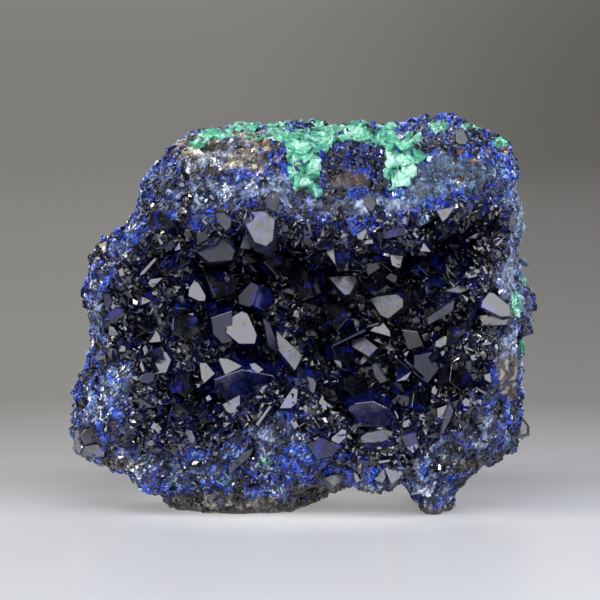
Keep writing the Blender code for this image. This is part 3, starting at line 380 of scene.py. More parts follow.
UP = np.array(LEANS["up"])  # the way that most end faces look, towards the soft box
UPRIGHT = np.array([1.0, 1.0, 0.6])  # the rock's lumps are longer up than across
COMBED = np.array([1.0, 1.0, 0.55])  # and so is the malachite's felt
GRAIN_ROOM = 0.3  # how far the rock's surface is drawn in so that its grains end where the solid does, in mm
MALACHITE_GRID = 0.27  # in mm
CRUST_ROOT = 0.35  # how far the malachite's edge dips under the rock's surface, in mm
UNEVEN = 0.16  # how far the copies of a grain or a lath differ in each size
AZURITE_IOR = 1.76

DRUSE_SEED, RIM_SEED, VUG_SEED, LATH_SEED = 5, 17, 29, 37

BODY_COLOUR = "body_colour"
FROST = "frost"

# The lights: name, place, width and height in metres, how bright it looks, and its colour.
LIGHTS = (
    ("soft_box", (0.1, -0.82, 0.8), 1.2, 0.85, 3.35, "#fafbfe"),
    ("side_light", (-0.85, -0.5, 0.38), 0.1, 0.22, 40.0, "#fff0dc"),
    ("left_panel", (-0.86, -0.5, 0.2), 0.45, 0.5, 3.2, "#f6faff"),
    ("right_panel", (0.85, -0.55, 0.25), 0.6, 0.5, 1.7, "#eef2ff"),
    ("left_strip", (-0.78, -0.3, 0.8), 0.07, 0.4, 26.0, "#f4f8ff"),
    ("right_strip", (0.75, -0.35, 0.7), 0.07, 0.35, 20.0, "#f0f6ff"),
    ("front_panel", (0.0, -1.6, 0.45), 1.8, 0.9, 0.5, "#f8faff"),
    ("rear_fill", (0.35, 0.95, 0.7), 0.9, 0.7, 0.9, "#f4f6ff"),
)
AIM = Vector((0.0, 0.0, 0.04))  # the middle of the specimen, which the lights face, in metres
STUDIO = ("#8c8985", 0.35)  # colour and strength of the light from everywhere

# The board is a disc, flat and then swept up: how far out and how high its rings are, in metres.
BOARD_RINGS = ((60.0, 0.0), (75.0, 1.5), (88.0, 6.0), (96.0, 13.0), (100.0, 24.0))
BOARD_SIDES = 64
CLIP_END = 1000.0

# Streaks of small faces on the rim that catch the side light: middle, half size and how many.
GLINTS = (
    (183, 178, 3, 14, 16), (186, 204, 4, 16, 22), (180, 222, 6, 8, 10), (101, 249, 5, 9, 12),
    (86, 298, 3, 10, 6),
    (204, 196, 8, 5, 6), (100, 400, 8, 30, 14), (135, 440, 12, 8, 8), (265, 190, 6, 14, 8),
    (190, 470, 40, 8, 10),
    (250, 478, 24, 10, 10), (440, 470, 10, 12, 6), (480, 425, 10, 12, 6), (362, 455, 14, 6, 6),
    (246, 466, 10, 8, 8),
)

# Spots on the sheet where no malachite grows: middle and half size.
BARE_SPOTS = (
    (300, 120, 16, 6), (262, 124, 9, 5), (222, 124, 8, 4), (341, 116, 9, 5), (376, 121, 8, 6),
    (398, 128, 7, 6),
    (338, 131, 8, 4), (428, 146, 6, 4), (300, 165, 4, 9), (398, 166, 5, 5), (196, 138, 5, 4),
    (318, 147, 7, 4),
)


def from_hex(text):
    """The linear colour of an sRGB hex value."""
    parts = [int(text[n:n + 2], 16) / 255.0 for n in (1, 3, 5)]
    return [part / 12.92 if part <= 0.04045 else ((part + 0.055) / 1.055) ** 2.4 for part in parts]


# What a crystal's body looks like through its faces: colour, and how frosted its faces are.
TONES = {
    "clear": ("#070a20", 0.0),
    "dark": ("#03040c", 0.05),
    "blue": ("#070d36", 0.18),
    "frost": ("#181a2a", 0.6),
}

LATH_COLOURS = ("#020308", "#04050e", "#060818", "#080c26", "#0c1648", "#020308")

# Body colours of single grains on each kind of ground, from the darkest to the palest.
GRAINS = {
    "blue": (
        "#000204", "#000306", "#01040e", "#030a28", "#061458", "#0e2ab0", "#1842d8", "#2c5cd8", "#6a8cbc",
    ),
    "matrix": (
        "#0c0a08", "#1c1814", "#3a322a", "#544838", "#6c5e50", "#7c7268", "#445070", "#948e86", "#b0aca4",
    ),
    "rust": (
        "#14100c", "#241a12", "#3a2a1e", "#46362a", "#544236", "#5c4a3c", "#6c5a4a", "#7c6a58", "#8c7c6a",
    ),
    "slate": (
        "#0e1a2c", "#162c44", "#1f3e6c", "#2a527c", "#385a7c", "#426884", "#587a92", "#6e90a4", "#8ca4b6",
    ),
    "bruised": (
        "#000208", "#02061a", "#061038", "#0e2688", "#183cb0", "#3a5488", "#7486a6", "#a8b4c6", "#dce2ec",
    ),
    "lilac": (
        "#0a1330", "#152e60", "#244280", "#3a5288", "#4c668e", "#607a9a", "#748eaa", "#8ea4ba", "#aab8ce",
    ),
    "green": (
        "#1c5c4a", "#2c7a5c", "#3f9674", "#4fae88", "#64c09a", "#7fd0ac", "#8cd8b8", "#a8e4cc", "#c4f0dc",
    ),
    "iron": (
        "#200c06", "#401c0e", "#5c2a14", "#7c3c20", "#94502c", "#a86038", "#b07048", "#b8845c", "#c09478",
    ),
    "umber": (
        "#080606", "#100c0c", "#1c1816", "#28221e", "#342c2a", "#0a143c", "#162460", "#5c5650", "#847c74",
    ),
}


# ------------------------------------------------------------------ sizes and colours that a user may change


def length_of(name, description, millimetres):
    return FloatProperty(name=name, description=description, default=millimetres * MM, unit="LENGTH")


def number_of(name, description, count):
    return IntProperty(name=name, description=description, default=count)


def colour_of(name, description, text):
    default = from_hex(text)
    return FloatVectorProperty(name=name, description=description, size=3, subtype="COLOR", default=default)


class SpecimenSizes(bpy.types.PropertyGroup):
    # the real druse goes down to a tenth of a millimetre, too fine to show, so its grains are drawn coarser
    rock_grid: length_of("Rock grid", "Grid that the rock is carved on", 0.6)
    fine_grain: length_of("Fine grain", "Length of a fine grain of the rim", 0.48)
    grain: length_of("Grain", "Length of a coarse grain of the rim", 0.8)
    side_grain: length_of("Side grain", "Length of a grain of the sides", 1.0)
    lath: length_of("Lath", "Length of a lath in the hollow", 1.25)
    malachite: length_of("Malachite", "Thickness of the malachite", 0.85)
    fine_grains: number_of("Fine grains", "Number of fine grains on the rim", 24000)
    grains: number_of("Grains", "Number of coarse grains on the rim", 4500)
    side_grains: number_of("Side grains", "Number of grains on the sides and back", 17000)
    laths: number_of("Laths", "Number of laths in the hollow", 5000)
    blades: number_of("Blades", "Number of middling crystals in the hollow", 460)
    rim_blades: number_of("Rim blades", "Number of small blades on the rim", 90)


class SpecimenColours(bpy.types.PropertyGroup):
    # The deep green goes where the felt dips and the noise is low: partly a painted shade in the pits.
    green_deep_painted_shade: colour_of("Malachite, deep", "Malachite in the pits", "#1f5f4c")
    green_mid: colour_of("Malachite", "Body of the malachite", "#5cc4a0")
    green_pale: colour_of("Malachite, pale", "Tips of the malachite fibres", "#ccffec")
    lining: colour_of("Lining", "Crust that the hollow's crystals stand on", "#0a1038")
    # The board's two colours make a painted pool of light: pale near the specimen, grey far off.
    board_near_painted_light: colour_of("Board", "Board close to the specimen", "#d2d4d8")
    board_far_painted_shade: colour_of("Board, far", "Board far from the specimen", "#85827e")


# ------------------------------------------------------------------ drawing-sheet geometry


def on_sheet(across, down):
    """The point of the upright drawing plane that a sheet coordinate stands for, in mm."""
    return Vector(((across - SHEET_MIDDLE) * UNIT, SHEET_Y, (SHEET_FLOOR - down) * UNIT)) - BASE


def at_depth(drawn, y):
    """The point at depth y that the eye sees at this point of the drawing plane."""
    sight = drawn - EYE
    return EYE + sight * ((y - EYE.y) / sight.y)


def on_plane(drawn, point, normal):
    """The point of a plane that the eye sees at this point of the drawing plane."""
    sight = drawn - EYE
    return EYE + sight * ((point - EYE).dot(normal) / sight.dot(normal))


def to_sheet(points):
    """Sheet coordinates of an array of points in mm, as the eye sees them."""
    eye = np.array(EYE)
    nearer = ((PLANE_Y - eye[1]) / (points[:, 1] - eye[1]))[:, None]
    drawn = eye + (points - eye) * nearer + np.array(BASE)
    return drawn[:, 0] / UNIT + SHEET_MIDDLE, SHEET_FLOOR - drawn[:, 2] / UNIT


def hollow_share(across, down):
    """How far out each sheet coordinate lies: 0 in the middle of the hollow and 1 at its edge."""
    corners = np.array(HOLLOW_EDGE, float) - HOLLOW_MIDDLE
    angles = np.arctan2(corners[:, 1], corners[:, 0])
    radii = np.hypot(corners[:, 0], corners[:, 1])
    order = np.argsort(angles)
    x, y = across - HOLLOW_MIDDLE[0], down - HOLLOW_MIDDLE[1]
    edge = np.interp(np.arctan2(y, x), angles[order], radii[order], period=2.0 * math.pi)
    return np.hypot(x, y) / edge


def away_from(spot, across, down):
    """How far each sheet coordinate lies from the middle of an oval spot, whose edge is at 1."""
    middle_x, middle_y, half_x, half_y = spot
    return np.hypot((across - middle_x) / half_x, (down - middle_y) / half_y)


def ease(low, high, values):
    """A smooth step from 0 at the low value to 1 at the high one."""
    share = np.clip((values - low) / (high - low), 0.0, 1.0)
    return share * share * (3.0 - 2.0 * share)


# ------------------------------------------------------------------ noise over arrays of points


# Large odd numbers that mix a cell's place and a seed into a number that looks random.
HASH_STEPS = np.array([73856093, 19349663, 83492791])
HASH_SEED_STEP = 1013904223
HASH_ROUNDS = ((13, 1274126177), (16, 668265263))


def scatter_of(cells, seed):
    """A number from 0 to 1 for each cell, always the same for the same cell."""
    mixed = cells @ HASH_STEPS + seed * HASH_SEED_STEP
    for shift, factor in HASH_ROUNDS:
        mixed = (mixed ^ (mixed >> shift)) * factor
    return ((mixed >> 8) & 0xFFFF) / 0xFFFF


def wander(points, size, seed):
    """Smooth noise from -1 to 1, whose lumps are about one size across."""
    scaled = points / size
    cells = np.floor(scaled).astype(np.int64)
    part = scaled - cells
    part = part * part * (3.0 - 2.0 * part)
    total = np.zeros(len(points))
    for corner in range(8):
        step = np.array([corner & 1, corner >> 1 & 1, corner >> 2 & 1])
        share = np.prod(np.where(step, part, 1.0 - part), axis=1)
        total += share * (scatter_of(cells + step, seed) * 2.0 - 1.0)
    return total


def layered(points, size, seed):
    """Four layers of noise, each half as large as the last."""
    total = np.zeros(len(points))
    for layer in range(4):
        total += wander(points, size / 2.0 ** layer, seed + layer) / 2.0 ** layer
    return total / 1.6


def ridged(points, size, seed):
    """Sharp crests, at 1, between wider troughs."""
    return 1.0 - 2.6 * np.abs(wander(points, size, seed))


def halves(depth):
    """For scales of three colours: which two each depth from 0 to 1 lies between, and how far along."""
    shade = np.clip(depth, 0.0, 1.0) * 2.0
    step = np.minimum(shade.astype(int), 1)
    return step, (shade - step)[:, None]


def facets(points, size, seed):
    """A height that is flat but tilted within each cell of a random mosaic, from about -1 to 1."""
    scaled = points / size
    cells = np.floor(scaled).astype(np.int64)
    nearest = np.full(len(points), 9.0)
    height = np.zeros(len(points))
    for number in range(27):
        near = cells + np.array([number % 3 - 1, number // 3 % 3 - 1, number // 9 - 1])
        seeds = np.stack([scatter_of(near, seed + axis) for axis in range(3)], axis=1)
        tilt = np.stack([scatter_of(near, seed + 3 + axis) for axis in range(3)], axis=1) * 2.0 - 1.0
        away = scaled - near - seeds
        distance = (away * away).sum(axis=1)
        closer = distance < nearest
        nearest = np.where(closer, distance, nearest)
        flat = (away * tilt).sum(axis=1) + 0.5 * (scatter_of(near, seed + 7) - 0.5)
        height = np.where(closer, flat, height)
    return height


# ------------------------------------------------------------------ meshes


def linked(name, mesh):
    made = bpy.data.objects.new(name, mesh)
    bpy.context.scene.collection.objects.link(made)
    return made


def evaluated_mesh(made):
    bpy.context.view_layer.update()
    graph = bpy.context.evaluated_depsgraph_get()
    return bpy.data.meshes.new_from_object(made.evaluated_get(graph))


def on_grid(name, node, grid, smoothing):
    """A copy of a CAD node on an even grid, with the sharp edges of its facets worn down."""
    made = linked(name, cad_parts[node].data.copy())
    remesh = made.modifiers.new("Grid", "REMESH")
    remesh.mode = "VOXEL"
    remesh.voxel_size = grid
    smooth = made.modifiers.new("Worn", "SMOOTH")
    smooth.factor = 0.5
    smooth.iterations = smoothing
    made.data = evaluated_mesh(made)
    made.modifiers.clear()
    return made


def read(items, key, width=1):
    """One property of all of a mesh's points or faces, as an array."""
    flat = np.empty(len(items) * width)
    items.foreach_get(key, flat)
    return flat.reshape(-1, width)


def points_of(mesh):
    return read(mesh.vertices, "co", 3) / MM


def rock_surface():
    return bpy.data.objects["azurite_rock_surface"].data


def tree_of(mesh):
    """What finds the places on a mesh that are near a point or along a line."""
    points = [tuple(vert.co) for vert in mesh.vertices]
    return BVHTree.FromPolygons(points, [tuple(face.vertices) for face in mesh.polygons])


def rock_tree():
    return tree_of(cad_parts["azurite_rock"].data)


def move_points(mesh, points):
    points = points.copy()
    points[:, 2] = np.maximum(points[:, 2], 0.0)
    mesh.vertices.foreach_set("co", (points * MM).astype(np.float32).ravel())
    mesh.update()


def paint(mesh, colours):
    """Keeps a colour for each point of a mesh."""
    full = np.ones((len(mesh.vertices), 4), np.float32)
    full[:, :colours.shape[1]] = colours
    mesh.color_attributes.new(BODY_COLOUR, "FLOAT_COLOR", "POINT").data.foreach_set("color", full.ravel())


def frosted(mesh, shares):
    """Keeps for each point of a mesh how frosted it is."""
    mesh.attributes.new(FROST, "FLOAT", "POINT").data.foreach_set("value", np.asarray(shares, np.float32))


def mesh_from(name, points, faces):
    """A mesh from points in mm and a list of faces."""
    mesh = bpy.data.meshes.new(name)
    points = np.asarray(points, float).copy()
    points[:, 2] = np.maximum(points[:, 2], 0.0)
    mesh.from_pydata((points * MM).tolist(), [], faces)
    mesh.update()
    return mesh


def dressed(made, material, slot, *nodes):
    """Gives a piece its material and its body, and hides the CAD nodes that it stands for; the slot is not
    used.
    """
    made.data.materials.clear()
    made.data.materials.append(material)
    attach(made, BODY)
    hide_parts(*nodes)


# ------------------------------------------------------------------ kinds of ground


def kind_weights(points):
    """How much of each kind of ground there is at each point, in the order of KINDS."""
    kinds = list(KINDS)
    across, down = to_sheet(points)
    ragged = layered(points, 3.0, 41)
    front = 1.0 - ease(-1.0, 5.0, points[:, 1])
    found = {kind: np.zeros(len(points)) for kind in kinds}
    for *spot, kind in PATCHES:
        here = (1.0 - ease(0.6, 1.2, away_from(spot, across, down) + 0.6 * ragged)) * front
        found[kind] = np.maximum(found[kind], here)
    behind = 1.0 - front
    for kind, here in (
        ("matrix", 0.8 * ease(-0.2, 0.3, layered(points, 14.0, 51)) * behind),
        ("rust", ease(0.1, 0.45, layered(points, 9.0, 61)) * behind),
        ("bruised", 0.7 * ease(0.0, 0.4, layered(points, 7.0, 67))),
        ("umber", 1.0 - ease(0.5, 3.5, points[:, 2] + ragged)),  # the ground turns dark umber towards the bottom
    ):
        found[kind] = np.maximum(found[kind], here)
    weights = np.stack([found[kind] for kind in kinds], axis=1)
    for later in range(2, len(kinds)):
        weights[:, 1:later] *= (1.0 - weights[:, later])[:, None]
    weights[:, 0] = np.clip(1.0 - weights[:, 1:].sum(axis=1), 0.0, 1.0)
    return weights / weights.sum(axis=1)[:, None]


def ground_colours(points, depth):
    """The colour of the rock's surface, with a painted shade that darkens its pits. A depth of 0 is a pit
    and of 1 an edge.
    """
    weights = kind_weights(points)
    steps = np.array([[from_hex(text) for text in KINDS[kind][:3]] for kind in KINDS])
    step, part = halves(depth + 0.8 * layered(points, 1.8, 83))
    lower = np.einsum("nk,nkc->nc", weights, steps[:, step].transpose(1, 0, 2))
    upper = np.einsum("nk,nkc->nc", weights, steps[:, step + 1].transpose(1, 0, 2))
    return lower * (1.0 - part) + upper * part


def under_crystals(points):
    """Whether the end face of a traced crystal stands in front of each point."""
    across, down = to_sheet(points)
    covered = np.zeros(len(points), bool)
    for _, _, _, corners in VUG_CRYSTALS:
        near = (np.abs(across - corners[0][0]) < 50.0) & (np.abs(down - corners[0][1]) < 50.0)
        x, y = across[near], down[near]
        inside = np.zeros(len(x), bool)
        for (x0, y0), (x1, y1) in zip(corners, corners[1:] + corners[:1]):
            if y0 != y1:
                inside ^= ((y0 > y) != (y1 > y)) & (x < (x1 - x0) * (y - y0) / (y1 - y0) + x0)
        covered[near] |= inside
    return covered


def in_hollow(points):
    """A share for each point: 1 in the hollow and 0 outside it."""
    share = hollow_share(*to_sheet(points))
    return (points[:, 1] < DEEPEST_WALL_Y) * (1.0 - ease(0.975, HOLLOW_BRINK, share))


# ------------------------------------------------------------------ shapes that repeat


# A roof-ended grain: a square foot and a short ridge. It has no face underneath.
GRAIN_POINTS = np.array([
    (-0.5, -0.5, -0.4), (0.5, -0.5, -0.4), (0.5, 0.5, -0.4), (-0.5, 0.5, -0.4), (-0.3, 0.05, 0.6),
    (0.3, -0.05, 0.6),
])
GRAIN_FACES = ((0, 1, 5, 4), (2, 3, 4, 5), (1, 2, 5), (3, 0, 4))

# A lath: a flat six-sided chip with a wider foot. It has no face underneath either.
LATH_POINTS = np.array([
    (-0.36, -0.5, 0.5), (0.36, -0.5, 0.5), (0.5, 0.0, 0.5), (0.36, 0.5, 0.5), (-0.36, 0.5, 0.5),
    (-0.5, 0.0, 0.5),
    (-0.5, -0.8, -0.9), (0.5, -0.8, -0.9), (0.7, 0.0, -0.9), (0.5, 0.8, -0.9), (-0.5, 0.8, -0.9),
    (-0.7, 0.0, -0.9),
])
LATH_FACES = (
    (0, 1, 2, 3, 4, 5), (6, 7, 1, 0), (7, 8, 2, 1), (8, 9, 3, 2), (9, 10, 4, 3), (10, 11, 5, 4),
    (11, 6, 0, 5),
)


def unit(vectors):
    return vectors / np.linalg.norm(vectors, axis=1)[:, None]


def frames_for(axes, draw, along, loose):
    """Two directions at right angles to each axis. The first lies within an angle of a given one."""
    side = unit(np.cross(np.cross(axes, along), axes))
    other = np.cross(axes, side)
    turn = draw.uniform(-loose, loose, len(axes))[:, None]
    return side * np.cos(turn) + other * np.sin(turn), other * np.cos(turn) - side * np.sin(turn)


def tilted(normals, spread, draw):
    """The same directions, each turned a little at random."""
    return unit(normals + draw.normal(0.0, 1.0, normals.shape) * np.reshape(spread, (-1, 1)))


def strewn(name, shape, faces, places, frame_axes, sizes, colours, draw):
    """One mesh with a copy of a shape at each place. Sizes are in mm along the three axes."""
    uneven = 1.0 + draw.uniform(-UNEVEN, UNEVEN, (len(places), len(shape), 3))
    scaled = shape[None, :, :] * uneven * sizes[:, None, :]
    points = places[:, None, :] + sum(
        scaled[:, :, axis:axis + 1] * frame_axes[axis][:, None, :] for axis in range(3)
    )
    count = len(shape)
    starts = range(0, len(places) * count, count)
    every = [tuple(corner + start for corner in face) for start in starts for face in faces]
    mesh = mesh_from(name, points.reshape(-1, 3), every)
    paint(mesh, np.repeat(colours, count, axis=0))
    return linked(name, mesh)


def places_on(mesh, wanted, weights, draw):
    """Random places on a mesh and the directions they face, by area and by a weight for each face."""
    centres = read(mesh.polygons, "center", 3) / MM
    facing = read(mesh.polygons, "normal", 3)
    areas = read(mesh.polygons, "area")[:, 0]
    chance = areas * weights(centres)
    chosen = draw.choice(len(areas), wanted, p=chance / chance.sum())
    jitter = draw.uniform(-0.5, 0.5, (wanted, 3)) * np.sqrt(areas[chosen])[:, None] / MM
    jitter -= facing[chosen] * (jitter * facing[chosen]).sum(axis=1)[:, None]
    return centres[chosen] + jitter, facing[chosen]


def grain_colours(points, draw):
    """A colour for each grain, from its kind of ground. Dark and pale grains lie in clusters."""
    sums = np.cumsum(kind_weights(points), axis=1)
    kind = (draw.random(len(points))[:, None] > sums).sum(axis=1).clip(0, len(KINDS) - 1)
    palette = np.array([[from_hex(text) for text in GRAINS[name]] for name in KINDS])
    upright = points * UPRIGHT
    cluster = 0.48 + 0.4 * wander(points, 7.0, 103)
    cluster = cluster + 0.95 * layered(upright, 2.6, 101) + 0.45 * wander(upright, 0.9, 107)
    shade = cluster + draw.normal(0.0, 0.13, len(points))
    steps = palette.shape[1]
    colours = palette[kind, (shade * steps).astype(int).clip(0, steps - 1)]
    return colours * draw.uniform(0.75, 1.25, (len(points), 1))


class Heap:
    """Many small closed shapes gathered into one mesh, each with its own body colour and frosting."""

    def __init__(self):
        self.points = []
        self.faces = []
        self.colours = []
        self.frost = []

    def add_hull(self, points, tone, bevel, shade):
        """Adds the hull of some points, with its edges bevelled."""
        shape = bmesh.new()
        for point in points:
            shape.verts.new(point)
        bmesh.ops.convex_hull(shape, input=shape.verts[:])
        loose = [vert for vert in shape.verts if not vert.link_faces]
        bmesh.ops.delete(shape, geom=loose, context="VERTS")
        verts, edges = shape.verts[:], shape.edges[:]
        bmesh.ops.dissolve_limit(shape, angle_limit=math.radians(1.5), verts=verts, edges=edges)
        edges = shape.edges[:]
        bmesh.ops.bevel(shape, geom=edges, offset=bevel, segments=1, affect="EDGES", clamp_overlap=True)
        bmesh.ops.recalc_face_normals(shape, faces=shape.faces[:])
        start = len(self.points)
        for number, vert in enumerate(shape.verts):
            vert.index = number
            self.points.append(tuple(vert.co))
        for face in shape.faces:
            self.faces.append([vert.index + start for vert in face.verts])
        text, frost = TONES[tone]
        self.colours += [[part * shade for part in from_hex(text)]] * len(shape.verts)
        self.frost += [frost] * len(shape.verts)
        shape.free()

    def made(self, name):
        mesh = mesh_from(name, self.points, self.faces)
        paint(mesh, np.array(self.colours))
        frosted(mesh, self.frost)
        return linked(name, mesh)


def wall_behind(tree, point):
    """The depth of the rock behind a point, straight back."""
    found = tree.ray_cast(Vector((point.x, BEFORE_ALL, point.z)) * MM, Vector((0.0, 1.0, 0.0)))
    return found[0].y / MM if found[0] is not None else point.y + OPEN_WALL


def add_capped(heap, face, centre, normal, length, tone, draw):
    """A crystal from the corners of its end face, which widens as it runs back."""
    growth = (normal * -0.35 + Vector((0.0, 1.0, 0.0)) * 0.65).normalized()
    points = list(face)
    points += [centre + (p - centre) * SHOULDER_FLARE + growth * length * SHOULDER_DEPTH for p in face]
    points += [centre + (p - centre) * ROOT_FLARE + growth * length for p in face]
    reach = max((p - centre).length for p in face)
    heap.add_hull(points, tone, min(EDGE_BEVEL, 0.08 * reach), draw.uniform(0.7, 1.3))


def add_crystal(heap, lean, tone, y, corners, tree, standing, draw):
    """A crystal whose end face is drawn on the sheet, standing clear of the wall behind it."""
    normal = Vector(LEANS[lean]) + Vector(draw.uniform(-0.05, 0.05, 3))
    normal.normalize()
    drawn = [on_sheet(*corner) for corner in corners]
    middle = sum(drawn, Vector()) / len(drawn)
    wall = wall_behind(tree, at_depth(middle, y))
    y = max(min(y, wall - standing[0]), wall - standing[1])
    centre = at_depth(middle, y)
    face = [on_plane(point, centre, normal) for point in drawn]
    add_capped(heap, face, centre, normal, wall + ROOT_DEPTH - y, tone, draw)


def add_tablet(heap, centre, normal, width, length, depth, tone, draw):
    """A tablet with an uneven end face of five or six sides."""
    along = normal.orthogonal().normalized()
    along.rotate(Quaternion(normal, draw.uniform(0.0, 2.0 * math.pi)))
    across = normal.cross(along)
    sides = draw.integers(5, 7)
    face = []
    for side in range(sides):
        angle = 2.0 * math.pi * (side + draw.uniform(-0.3, 0.3)) / sides
        reach = along * (length * math.cos(angle) / 2.0)
        face.append(centre + reach + across * (width * math.sin(angle) / 2.0))
    add_capped(heap, face, centre, normal, depth, tone, draw)


def add_blade(heap, foot, axis, width, length, tone, draw):
    """A blade with a chisel end."""
    axis = axis.normalized()
    side = axis.orthogonal().normalized()
    side.rotate(Quaternion(axis, draw.uniform(0.0, math.pi)))
    across = axis.cross(side)
    thick = width * draw.uniform(0.35, 0.8)
    points = []
    for along, breadth, depth in ((0.0, 1.0, 1.0), (0.7, 0.95, 0.9), (1.0, 0.55, 0.05)):
        for turn in range(4):
            angle = (turn + 0.5) * math.pi / 2.0
            reach = (length + ROOT_DEPTH) * along + draw.uniform(-0.08, 0.08) * length * (along > 0.5)
            offset = side * (width * breadth * math.cos(angle)) + across * (thick * depth * math.sin(angle))
            points.append(foot + axis * (reach - ROOT_DEPTH) + offset)
    heap.add_hull(points, tone, EDGE_BEVEL * 0.6, draw.uniform(0.6, 1.4))


# ------------------------------------------------------------------ materials


def plug(node, inputs):
    """Fills a node's sockets, by name or in their order, each with a value or from a node or a socket."""
    for key, value in inputs.items() if isinstance(inputs, dict) else enumerate(inputs):
        if isinstance(value, bpy.types.Node):
            value = value.outputs[0]
        if isinstance(value, bpy.types.NodeSocket):
            node.id_data.links.new(value, node.inputs[key])
        else:
            node.inputs[key].default_value = value


def add(tree, kind, inputs=(), stops=(), **settings):
    """Adds a shader node with its inputs, a ramp's stops, and its settings."""
    node = tree.nodes.new("ShaderNode" + kind)
    for key, value in settings.items():
        setattr(node, key, value)
    while len(stops) > len(node.color_ramp.elements if stops else ()):
        node.color_ramp.elements.new(0.5)
    for number, (place, colour) in enumerate(stops):
        node.color_ramp.elements[number].position = place
        node.color_ramp.elements[number].color = (*colour, 1.0)
    plug(node, inputs)
    return node


def blank(name):
    """A plain material, its tree, its shader, and the socket of the place on the piece."""
    material = bpy.data.materials.new(name)
    material.use_nodes = True
    tree = material.node_tree
    tree.nodes.clear()
    shader = add(tree, "BsdfPrincipled")
    add(tree, "OutputMaterial", {"Surface": shader})
    return material, tree, shader, add(tree, "TexCoord").outputs["Object"]


def per_mm(size):
    """The scale of a pattern whose repeat is this many millimetres."""
    return 1.0 / (size * MM)


# A range takes what it changes, where that starts and ends, and what these two become.


def vitreous_azurite(name, painted_glow):
    """Azurite as it grew: glass-bright faces over a nearly black body, pitted, some etched to a frost.

    Patches placed by noise are painted a saturated blue, by the share that is given: painted light that
    stands for light shining through thin crystal. The real etch pits are far finer than the specks of 0.45
    mm, which are as coarse as they need to be to show.
    """
    material, tree, shader, place = blank(name)
    body = add(tree, "Attribute", attribute_name=BODY_COLOUR)
    frost = add(tree, "Attribute", attribute_name=FROST).outputs["Fac"]
    cloud = add(tree, "TexNoise", {"Vector": place, "Scale": per_mm(2.5), "Detail": 4.0})
    lit = add(tree, "MapRange", (cloud, 0.35, 0.75, 0.4, 2.2))
    tinted = add(tree, "VectorMath", {0: body, "Scale": lit}, operation="SCALE")
    # Painted light: noise patches mixed to a saturated blue, standing for light shining through the crystal.
    deep = add(tree, "TexNoise", {"Vector": place, "Scale": per_mm(3.4), "Detail": 3.0, "Distortion": 0.6})
    painted_glow_amount = add(tree, "MapRange", (deep, 0.56, 0.72, 0.0, painted_glow))
    blue = (*from_hex("#1a30c8"), 1.0)
    colour = add(tree, "Mix", {"Factor": painted_glow_amount, "A": tinted, "B": blue}, data_type="RGBA").outputs["Result"]
    mist = add(tree, "TexNoise", {"Vector": place, "Scale": per_mm(2.2), "Detail": 5.0, "Roughness": 0.6})
    clear = add(tree, "MapRange", (mist, 0.4, 0.7, 0.04, 0.2))
    speck = add(tree, "TexNoise", {"Vector": place, "Scale": per_mm(0.45), "Detail": 3.0})
    pit = add(tree, "MapRange", (speck, 0.6, 0.68, 0.0, 0.25))
    worn = add(tree, "Math", (clear, pit), operation="ADD")
    rough = add(tree, "Math", (frost, 0.32, worn), operation="MULTIPLY_ADD")
    growth = {"Vector": place, "Scale": per_mm(6.0), "Distortion": 6.0, "Detail": 3.0, "Detail Scale": 2.0}
    steps = add(tree, "TexWave", growth, wave_type="BANDS", bands_direction="DIAGONAL").outputs["Fac"]
    bump = add(tree, "Bump", {"Height": steps, "Strength": 0.15, "Distance": 0.05 * MM})
    etched = add(tree, "Math", (speck, frost), operation="MULTIPLY")
    relief = add(tree, "Bump", {"Height": etched, "Strength": 0.6, "Distance": 0.07 * MM, "Normal": bump})
    plug(shader, {"Base Color": colour, "Roughness": rough, "IOR": AZURITE_IOR, "Normal": relief})
    return material


def drusy_azurite():
    """Fine azurite druse: a rough skin of tiny glass-bright crystals that sparkles blue, grey and white."""
    material, tree, shader, place = blank("drusy_azurite")
    body = add(tree, "Attribute", attribute_name=BODY_COLOUR)
    mist = add(tree, "TexNoise", {"Vector": place, "Scale": per_mm(0.8), "Detail": 2.0})
    rough = add(tree, "MapRange", (mist, 0.35, 0.65, 0.04, 0.2))
    plug(shader, {"Base Color": body, "Roughness": rough, "IOR": AZURITE_IOR})
    return material


def azurite_in_matrix():
    """Broken rock: azurite over iron-oxide matrix, rough as it was hammered, blue, brown, grey and green."""
    material, tree, shader, place = blank("azurite_in_matrix")
    body = add(tree, "Attribute", attribute_name=BODY_COLOUR)
    upright = add(tree, "Mapping", {"Vector": place, "Scale": (1.0, 1.0, 0.55)}, vector_type="POINT")
    wide = add(tree, "TexNoise", {"Vector": place, "Scale": per_mm(3.0), "Detail": 8.0, "Roughness": 0.65})
    fine = add(tree, "TexNoise", {"Vector": upright, "Scale": per_mm(1.1), "Detail": 6.0, "Roughness": 0.7})
    shade = add(tree, "MapRange", (fine, 0.42, 0.68, 0.15, 2.4))
    colour = add(tree, "VectorMath", {0: body, "Scale": shade}, operation="SCALE")
    rough = add(tree, "MapRange", (wide, 0.4, 0.62, 0.08, 0.34))
    cells = add(tree, "TexVoronoi", {"Vector": upright, "Scale": per_mm(0.9)})
    facet = add(tree, "Bump", {"Height": cells, "Strength": 0.8, "Distance": 0.45 * MM})
    bump = add(tree, "Bump", {"Height": fine, "Strength": 1.0, "Distance": 0.7 * MM, "Normal": facet})
    plug(shader, {"Base Color": colour, "Roughness": rough, "IOR": 1.7, "Normal": bump})
    return material


